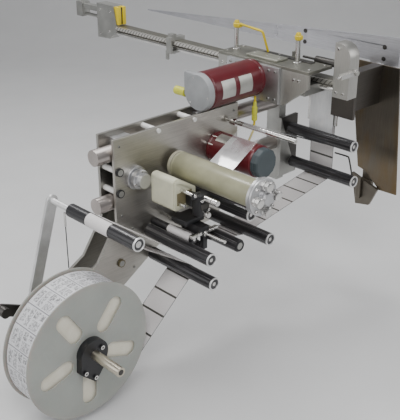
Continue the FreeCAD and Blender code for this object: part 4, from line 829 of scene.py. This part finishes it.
def curved_plate(bm, axis, centre, radius, span, sweep, steps):
    """A thin plate bent round a motor body, over a span along its axis and a sweep in degrees."""
    along = Vector((1, 0, 0)) if axis == "X" else Vector((0, 1, 0))
    under, over = radius - 0.0004, radius + 0.0010
    section = ((span[0], under), (span[0], over), (span[1], over), (span[1], under))
    rows = []
    for step in range(steps + 1):
        way = way_round(axis, sweep[0] + (sweep[1] - sweep[0]) * step / steps)
        rows.append([bm.verts.new(centre + along * reach + way * out) for reach, out in section])
    close_rows(bm, rows, 1)


def rewind_motor():
    centre, radius, long = round_node("rewind_motor")
    bm = bmesh.new()
    lathe(bm, centre, "Y", [(0.0, radius * 0.94), (0.004, radius), (long - 0.014, radius),
                            (long - 0.012, radius * 0.97), (long - 0.010, radius * 0.97),
                            (long - 0.008, radius), (long - 0.001, radius)], 0, 96)
    curved_plate(bm, "Y", centre, radius, (long * 0.50, long * 0.86), (96, 134), 10)
    for angle in (35, 118, 152, 215, 325):
        lathe(bm, centre + way_round("Y", angle) * radius * 0.93 + Vector((0, long - 0.024, 0)), "Y",
              [(0.0, 0.0026), (0.002, 0.0042), (0.020, 0.0042)], 2, 16)
    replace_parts(add("rewind_motor_body", bm, [RED, PLATE_WHITE, BRIGHT], "carriage"), "rewind_motor")
    cap_start, cap_radius, cap_long = round_node("rewind_motor_cap")
    start = Vector((centre.x, cap_start.y, centre.z))
    groove = cap_long * 0.6
    bm = bmesh.new()
    lathe(bm, start, "Y", [(0.0, cap_radius * 0.88), (0.004, cap_radius * 0.97), (0.012, cap_radius),
                           (groove, cap_radius), (groove + 0.002, cap_radius * 0.98),
                           (groove + 0.004, cap_radius * 0.98), (groove + 0.006, cap_radius),
                           (cap_long - 0.0005, cap_radius)], 0, 12, math.radians(15))
    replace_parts(add("rewind_cap", bm, [BLUE_CAP], "carriage", 20), "rewind_motor_cap")


def drum():
    centre, radius, long = round_node("rewind_drum")
    bm = bmesh.new()
    lathe(bm, centre, "Y", [(0.0, radius * 0.9), (0.0012, radius), (long - 0.010, radius),
                            (long - 0.009, radius * 0.985), (long - 0.007, radius * 0.985),
                            (long - 0.006, radius), (long - 0.0005, radius)], 0, 96)
    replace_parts(add("drum_tube", bm, [DRUM_CREAM], "drum"), "rewind_drum")
    spindle_low, spindle_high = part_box("drum_spindle")
    cap_radius = (spindle_high.x - spindle_low.x) / 2
    bm = bmesh.new()
    collar = centre + Vector((0, long, 0))
    lathe(bm, collar, "Y", [(0.0, radius * 0.93), (0.0022, radius * 0.93)], 1, 96)
    collar_long = 0.0138
    lathe(bm, collar, "Y", [(0.0022, radius * 0.985), (0.0030, radius), (0.0132, radius),
                            (collar_long, radius * 0.97)], 3, 96)
    spindle_radius = 0.010
    lathe(bm, Vector((centre.x, collar.y + collar_long, centre.z)), "Y",
          [(0.0, spindle_radius), (spindle_high.y - collar.y - collar_long, spindle_radius)], 0, 32)
    pulley_y = PLATE_ORIGIN.y + 0.0297
    lathe(bm, Vector((centre.x, pulley_y, centre.z)), "Y",
          [(0.0, 0.021), (0.001, 0.022), (0.019, 0.022), (0.020, 0.021)], 0, 48)
    near = Vector((centre.x, centre.y - 0.020, centre.z))
    lathe(bm, near, "Y", [(0.0, 0.012), (0.0, cap_radius * 0.92), (0.002, cap_radius), (0.007, cap_radius),
                          (0.0080, cap_radius * 0.96), (0.0095, cap_radius * 0.96), (0.0105, cap_radius),
                          (0.0185, cap_radius), (0.0198, cap_radius * 0.97)], 0, 96)
    tip = spindle_low.y - near.y
    knob_circle = 0.038
    for angle in (0, 90, 180, 270):
        spot = near + way_round("Y", angle) * knob_circle
        lathe(bm, spot, "Y", [(0.0, 0.015), (tip * 0.34, 0.015), (tip * 0.40, 0.0135), (tip * 0.52, 0.0135),
                              (tip * 0.58, 0.015), (tip * 0.94, 0.015), (tip, 0.0125), (tip, 0.007)], 2, 10,
              math.radians(18))
        lathe(bm, spot, "Y", [(tip * 0.9, 0.0060), (tip * 0.985, 0.0056)], 1, 6)
    for angle in (45, 135, 225, 315):
        near_screw(bm, near + way_round("Y", angle) * cap_radius * 0.84, 0.0052, 0.0070, 2, 1)
    lathe(bm, near, "Y", [(0.0, 0.026), (tip * 0.40, 0.025), (tip * 0.46, 0.019), (tip * 0.80, 0.018),
                          (tip * 0.86, 0.012), (tip * 0.86, 0.005)], 0, 32)
    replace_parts(add("drum_hub", bm, [ALUMINIUM, DARK_METAL, BRIGHT, DRUM_COLLAR], "drum"), "drum_spindle")


def actuator():
    """The round hub, the rim of the housing's face, and the yoke with its rods."""
    centre, radius, long = round_node("actuator_hub")
    bm = bmesh.new()
    lathe(bm, centre, "Y", [(0.0, radius * 0.62), (0.018, radius * 0.64), (0.019, radius * 0.80),
                            (0.020, radius * 0.84), (long - 0.018, radius * 0.84),
                            (long - 0.017, radius * 0.76), (long - 0.013, radius * 0.76),
                            (long - 0.012, radius * 0.97), (long - 0.011, radius),
                            (long - 0.0002, radius)], 0, 72)
    for index in range(6):
        way = way_round("Y", 60 * index + 20)
        near_screw(bm, centre + Vector((0, 0.020, 0)) + way * radius * 0.73, 0.0030, 0.003, 1, 2)
    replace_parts(add("actuator_base", bm, [ALUMINIUM, BRIGHT, DARK_METAL], "carriage"), "actuator_hub")
    bm = bmesh.new()
    face_y = -145
    frame_rim(bm, [(101, 55), (183, 55), (183, 106), (119, 146), (101, 146)], face_y, 3.0, 9.0, 0)
    slab(bm, at(112, face_y - 0.6, 66), at(174, face_y + 1, 104), 1, 0.0)
    add("actuator_face", bm, [CREAM, TAN], "carriage")
    bm = bmesh.new()
    for x, z, radius, near in ((128, 112, 5.5, -208), (120, 72, 5.5, -172), (152, 64, 4.0, -172)):
        lathe(bm, at(x, near, z), "Y", [(0.0, radius * MM * 0.8), (0.001, radius * MM),
                                        (-(near - face_y) * MM, radius * MM)], 1, 24)
    slab(bm, at(145, -172, 60), at(172, -145, 98), 0, 0.003)
    slab(bm, at(145, -208, 36), at(185, -172, 105), 0, 0.005)
    slab(bm, at(120, -205, 100), at(150, -196, 118), 0, 0.003)
    slab(bm, at(149, -211, 62), at(178, -207, 80), 2, 0.001)
    yoke_near = -208
    radius = 9.0 * MM
    for z, near in ((94.5, -262), (45.5, -226)):
        reach = (yoke_near - near) * MM
        waist = reach * 0.4
        lathe(bm, at(165, near, z), "Y", [(0.0, radius * 0.8), (0.0015, radius), (waist, radius),
                                          (waist + 0.0005, radius * 0.7), (waist + 0.003, radius * 0.7),
                                          (waist + 0.0035, radius), (reach, radius)], 1, 32)
    near_screw(bm, at(178, -208, 56), 0.005, 0.004, 1, 2)
    near_screw(bm, at(152, -208, 90), 0.005, 0.004, 1, 2)
    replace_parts(add("actuator_head", bm, [BLACK, BRIGHT, DARK_METAL], "carriage"), "actuator_yoke")


def frame_rim(bm, corners, face_y, proud, wide, material):
    """A raised rim round a flat face that looks towards the viewer."""
    centre_x = sum(corner[0] for corner in corners) / len(corners)
    centre_z = sum(corner[1] for corner in corners) / len(corners)
    inner = []
    for x, z in corners:
        share = 1 - wide * 1.4 / math.hypot(x - centre_x, z - centre_z)
        inner.append((centre_x + (x - centre_x) * share, centre_z + (z - centre_z) * share))
    chamfer = [(x * 0.97 + centre_x * 0.03, z * 0.97 + centre_z * 0.03) for x, z in corners]
    sunk, raised = face_y + 0.5, face_y - proud
    rows = [[bm.verts.new(at(x, y, z)) for x, z in outline]
            for outline, y in ((corners, sunk), (corners, raised + 0.8), (chamfer, raised), (inner, raised),
                               (inner, sunk))]
    bridge(bm, rows, material)


def label_sensor():
    """The sensor head, its fork and the cross bar that clamps on the rod."""
    bm = bmesh.new()
    slab(bm, at(128, -165, -2), at(206, -100, 15), 0, 0.003)
    slab(bm, at(160, -200, -33.5), at(190, -110, -2), 0, 0.002)
    slab(bm, at(166, -200, -78), at(184, -185, -33), 0, 0.002)
    slab(bm, at(166, -186, -78), at(184, -110, -64), 0, 0.002)
    slab(bm, at(120, -200, -28), at(230, -186, -18), 1, 0.002)
    lathe(bm, at(175, -203, -25), "Y", [(0.0, 0.0085), (0.001, 0.0095), (0.0035, 0.0095)], 1, 32)
    near_screw(bm, at(140, -200, -23), 0.0035, 0.003, 1, 2)
    near_screw(bm, at(210, -200, -23), 0.0035, 0.003, 1, 2)
    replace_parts(add("sensor_fork", bm, [BLACK, BRIGHT, DARK_METAL], "label_sensor"), "label_sensor")


def sensors():
    """Edge sensor posts with their yellow heads."""
    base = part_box("edge_sensors")[0].z
    bm = bmesh.new()
    for x, y, reach in ((676, 158, 30), (682, -107, 8)):
        spot = at(x, y, 0)
        spot.z = base
        lathe(bm, spot, "Z", [(0.0, 0.014), (0.003, 0.014), (0.004, 0.013), (0.004, 0.008), (0.074, 0.008),
                              (0.0745, 0.006)], 0, 32)
        lathe(bm, spot + Vector((0, 0, 0.074)), "Z",
              [(0.0, 0.0095), (0.002, 0.0115), (0.013, 0.0118), (0.015, 0.009), (0.021, 0.0085),
               (0.0245, 0.006)], 1, 32)
        slab(bm, spot + Vector((-0.009, -0.010 - reach * MM * 0.35, 0.0755)),
             spot + Vector((0.009, 0.010, 0.090)), 1, 0.003)
    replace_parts(add("edge_sensor_posts", bm, [BRIGHT, YELLOW], "carriage"), "edge_sensors")


def cables():
    """The cables, and the gland and the motor cable's plug in a paler yellow."""
    only_material("yellow_cables", YELLOW)
    motor_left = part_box("traverse_motor_cap")[1].x
    second_material("yellow_cables", GREEN_YELLOW, lambda spot: spot.x < motor_left)
    bm = bmesh.new()
    plug = at(590, -11, 182)
    lathe(bm, plug, "Z", [(0.0, 0.0060), (0.002, 0.0095), (0.018, 0.0098), (0.019, 0.0082), (0.022, 0.0082),
                          (0.023, 0.0098), (0.048, 0.0092), (0.050, 0.0066), (0.066, 0.0060)], 0, 24)
    add("cable_plug", bm, [GREEN_YELLOW], "carriage")


def carriage_cover():
    """The raised cover and the slotted strip on the carriage's top plate."""
    bm = bmesh.new()
    slab(bm, at(632, -62, 380), at(688, 72, 388), 0, 0.0015)
    for y in (-48, 5, 58):
        top_screw(bm, at(660, y, 388), 0.0045, 0.003, 1, 2)
    slab(bm, at(700, -150, 380), at(722, 60, 383), 2, 0.0008)
    add("carriage_cover", bm, [COVER_STEEL, BRIGHT, DARK_METAL], "carriage")


NEAR_TIE_SCREWS = ((171, 248), (321, 248), (490, 128), (8, -141), (400, -100))
FAR_TIE_SCREWS = ((171, 248), (321, 248), (17, 157), (17, 89), (490, 128), (400, -100), (8, -141))
THROUGH_SCREWS = ((20, 236), (500, 236), (20, 16), (60, -40), (-40, -230), (-240, -280))
NEAR_SCREWS = ((-280, -215), (-120, -150), (60, -175), (430, 40), (210, -100))


def plate_details():
    """Screws of both plates, and the flush dowels of the front plate."""
    bm = bmesh.new()
    for x, z in NEAR_TIE_SCREWS:
        near_screw(bm, at(x, -2, z), 0.0062, 0.0035)
    for x, z in THROUGH_SCREWS + NEAR_SCREWS:
        near_screw(bm, at(x, 0, z), 0.0042, 0.0022)
    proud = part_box("tie_rods")[0].y - PLATE_ORIGIN.y
    for x, z, ring in ((17, 157, 1), (17, 89, 1), (8, -141, 2)):
        spot = at(x, 0, z)
        lathe(bm, spot, "Y", [(0.0, 0.0130), (proud - 0.0006, 0.0127), (proud - 0.0007, 0.0098)], ring, 32)
        lathe(bm, spot, "Y", [(0.0, 0.0098), (proud - 0.0009, 0.0096), (proud - 0.0010, 0.004)], 0, 32)
    back = Vector((0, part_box("tie_rods")[1].y + PLATE_THICK - PLATE_ORIGIN.y, 0))
    for x, z in FAR_TIE_SCREWS:
        spot = at(x, 0, z) + back
        lathe(bm, spot, "Y", [(0.0, 0.0105), (0.0012, 0.0105), (0.0014, 0.0070)], 0, 32)
        lathe(bm, spot, "Y", [(0.0010, 0.0066), (0.0052, 0.0066), (0.0062, 0.0054), (0.0062, 0.0030)], 0, 6)
    for x, z in THROUGH_SCREWS:
        lathe(bm, at(x, 0, z) + back, "Y", [(0.0, 0.0042), (0.0018, 0.0042), (0.0022, 0.0020)], 0, 20)
    add("plate_screws", bm, [DULL_ALUMINIUM, BLACK, TAN], "carriage")


def wires():
    """The wire between the dancer's shaft and the carriage, and the bent rod below the second guide."""
    x, y, rings, radius = -153, 45, 36, 0.0016
    top, held, low = at(x, y, 50), at(x, y, 24), at(x, y, -113)
    bm = bmesh.new()
    lathe(bm, low, "Z", [((top.z - low.z) * step / rings, radius) for step in range(rings + 1)], 0, 12)
    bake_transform(add("dancer_wire", bm, [BLACK], None))
    tube("dancer_wire_end", [at(x, y, 68), top, held], 0.0036, BRIGHT, "dancer")
    tube("bent_rod", [at(800, -197, 62), at(800, -250, 64), at(800, -257, 60), at(800, -273, 2)], 0.0028,
         DARK_METAL, "carriage")


def frame_extras():
    """The bumper: two yellow strips and the dark core between them."""
    low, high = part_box("end_bumper")
    bm = bmesh.new()
    wide = high.x - low.x
    for first, last in ((0.0, 0.38), (0.58, 1.0)):
        slab(bm, Vector((low.x + wide * first, low.y, low.z)),
             Vector((low.x + wide * last, high.y, high.z)), 0, 0.0008)
    slab(bm, Vector((low.x + 0.002, low.y + 0.003, low.z + 0.002)),
         Vector((high.x - 0.002, high.y - 0.001, high.z - 0.002)), 1)
    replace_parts(add("bumper_strips", bm, [YELLOW, DARK_METAL], "frame"), "end_bumper")


def hub_details():
    """Screws on the reel's hub clamp, and a dark disc on the end of the reel shaft as painted shade for its
    groove.
    """
    end, radius, _ = round_node("reel_shaft")
    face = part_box("hub_clamp")[0].y
    bm = bmesh.new()
    for x, z in ((24, 15), (-4, -72), (-36, -44), (22, -28)):
        spot = Vector((end.x + x * MM, face + 0.0005, end.z + z * MM))
        near_screw(bm, spot, 0.0066, 0.0008)
    # A dark disc on the shaft end: painted shade for the groove.
    lathe(bm, end, "Y", [(0.002, radius * 0.60), (-0.0004, radius * 0.60), (-0.0006, radius * 0.42)], 1, 32)
    add("hub_screws", bm, [BRIGHT, DARK_METAL], "reel")


def frame_details():
    """Screws of the arm plate, the end block and the far end, and of the carriage."""
    bm = bmesh.new()
    for y, z in ((-225, 397), (118, 397), (-225, 357), (118, 357)):
        lathe(bm, at(1000, y, z), "X", [(0.0, 0.0078), (-0.0020, 0.0078), (-0.0022, 0.0060)], 1, 24)
    for y, z in ((-290, 312), (-262, 312), (-262, 452), (870, 400), (935, 400), (935, 305), (880, 320)):
        left_screw(bm, at(690, y, z), 0.005, 0.003)
    add("frame_screws", bm, [BRIGHT, DARK_METAL], "frame")
    bm = bmesh.new()
    for y in (-170, -150, 145, 165):
        left_screw(bm, at(616, y, 345), 0.005, 0.003)
    for x, y in ((640, -190), (720, -190), (640, 165), (720, 165), (640, 0), (720, 0)):
        top_screw(bm, at(x, y, 380), 0.0055, 0.0035)
    add("carriage_screws", bm, [BRIGHT, DARK_METAL], "carriage")


def tube(name, spots, radius, material, body):
    """A thin bent rod or wire through points."""
    curve = bpy.data.curves.new(name, "CURVE")
    curve.dimensions = "3D"
    curve.bevel_depth = radius
    curve.bevel_resolution = 4
    curve.use_fill_caps = True
    spline = curve.splines.new("NURBS")
    spline.points.add(len(spots) - 1)
    for point, spot in zip(spline.points, spots):
        point.co = (*spot, 1.0)
    spline.order_u = 3
    spline.use_endpoint_u = True
    curve.materials.append(material)
    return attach(place(name, curve), body)


# Floor, light and camera


def stage():
    """A pale plain floor that bends up into a wall behind the object, square to the view."""
    lowest = cad_low.z - 0.03
    shader = Shader("studio_floor", 0.75)
    grain = shader.noise(3.0, 3.0)
    shader.colour(shader.ramp(grain, [(0.3, (0.70, 0.70, 0.70)), (0.7, (0.74, 0.74, 0.74))]))
    bm = bmesh.new()
    reach = 14.0
    steps = 16
    bend = 2.5
    far = 3.0
    wall = 7.0
    profile = [(-reach, 0.0), (far, 0.0)]
    for step in range(1, steps + 1):
        angle = math.radians(90 * step / steps)
        profile.append((far + bend * math.sin(angle), bend * (1 - math.cos(angle))))
    profile.append((far + bend, wall))
    turn = Matrix.Rotation(VIEW_TURN, 3, "Z")
    rows = []
    for depth, rise in profile:
        middle_spot = Vector((-0.5, 0.4, lowest + rise))
        rows.append([bm.verts.new(turn @ Vector((side, depth, 0)) + middle_spot) for side in (-reach, reach)])
    for first, second in zip(rows, rows[1:]):
        bm.faces.new((first[0], first[1], second[1], second[0]))
    mesh = bpy.data.meshes.new("studio_floor")
    bm.to_mesh(mesh)
    bm.free()
    mesh.materials.append(shader.material)
    mesh.shade_smooth()
    place("studio_floor", mesh)


def area_light(name, location, target, size, power):
    light = bpy.data.lights.new(name, "AREA")
    light.shape = "RECTANGLE"
    light.size, light.size_y = size
    light.energy = power
    lamp = place(name, light)
    lamp.location = location
    lamp.rotation_euler = (target - location).to_track_quat("-Z", "Y").to_euler()


def lights():
    target = Vector((-0.6, 0.0, -0.2))
    liner_glare = at(330, -124, 160)
    area_light("key", Vector((-2.6, -2.2, 2.6)), target, (2.0, 2.0), 95.0)
    area_light("fill", Vector((-3.4, 1.2, 0.8)), target, (1.6, 2.2), 26.0)
    area_light("top", Vector((-0.2, 0.4, 3.0)), target, (2.4, 2.4), 60.0)
    area_light("side", Vector((1.8, -2.4, 1.0)), target, (1.4, 2.0), 26.0)
    area_light("glare", Vector((-0.72, 1.85, 2.05)), liner_glare, (0.5, 0.5), 26.0)
    world = bpy.data.worlds.new("studio")
    world.use_nodes = True
    world.node_tree.nodes["Background"].inputs["Color"].default_value = (0.75, 0.76, 0.78, 1.0)
    world.node_tree.nodes["Background"].inputs["Strength"].default_value = 0.34
    bpy.context.scene.world = world


def camera():
    """The photograph's view: from the front left, a little above."""
    lens = bpy.data.cameras.new("camera")
    lens.lens = 70.1
    lens.sensor_width = 36.0
    lens.clip_end = 60.0
    eye = place("camera", lens)
    eye.location = (-2.3621, -1.6954, 0.6992)
    eye.rotation_euler = (VIEW_TILT, 0.0, VIEW_TURN)
    bpy.context.scene.camera = eye


dress_nodes()
rollers()
webs()
label_roll()
traverse_motor()
rewind_motor()
drum()
actuator()
label_sensor()
sensors()
cables()
carriage_cover()
plate_details()
hub_details()
wires()
frame_details()
frame_extras()
stage()
lights()
camera()
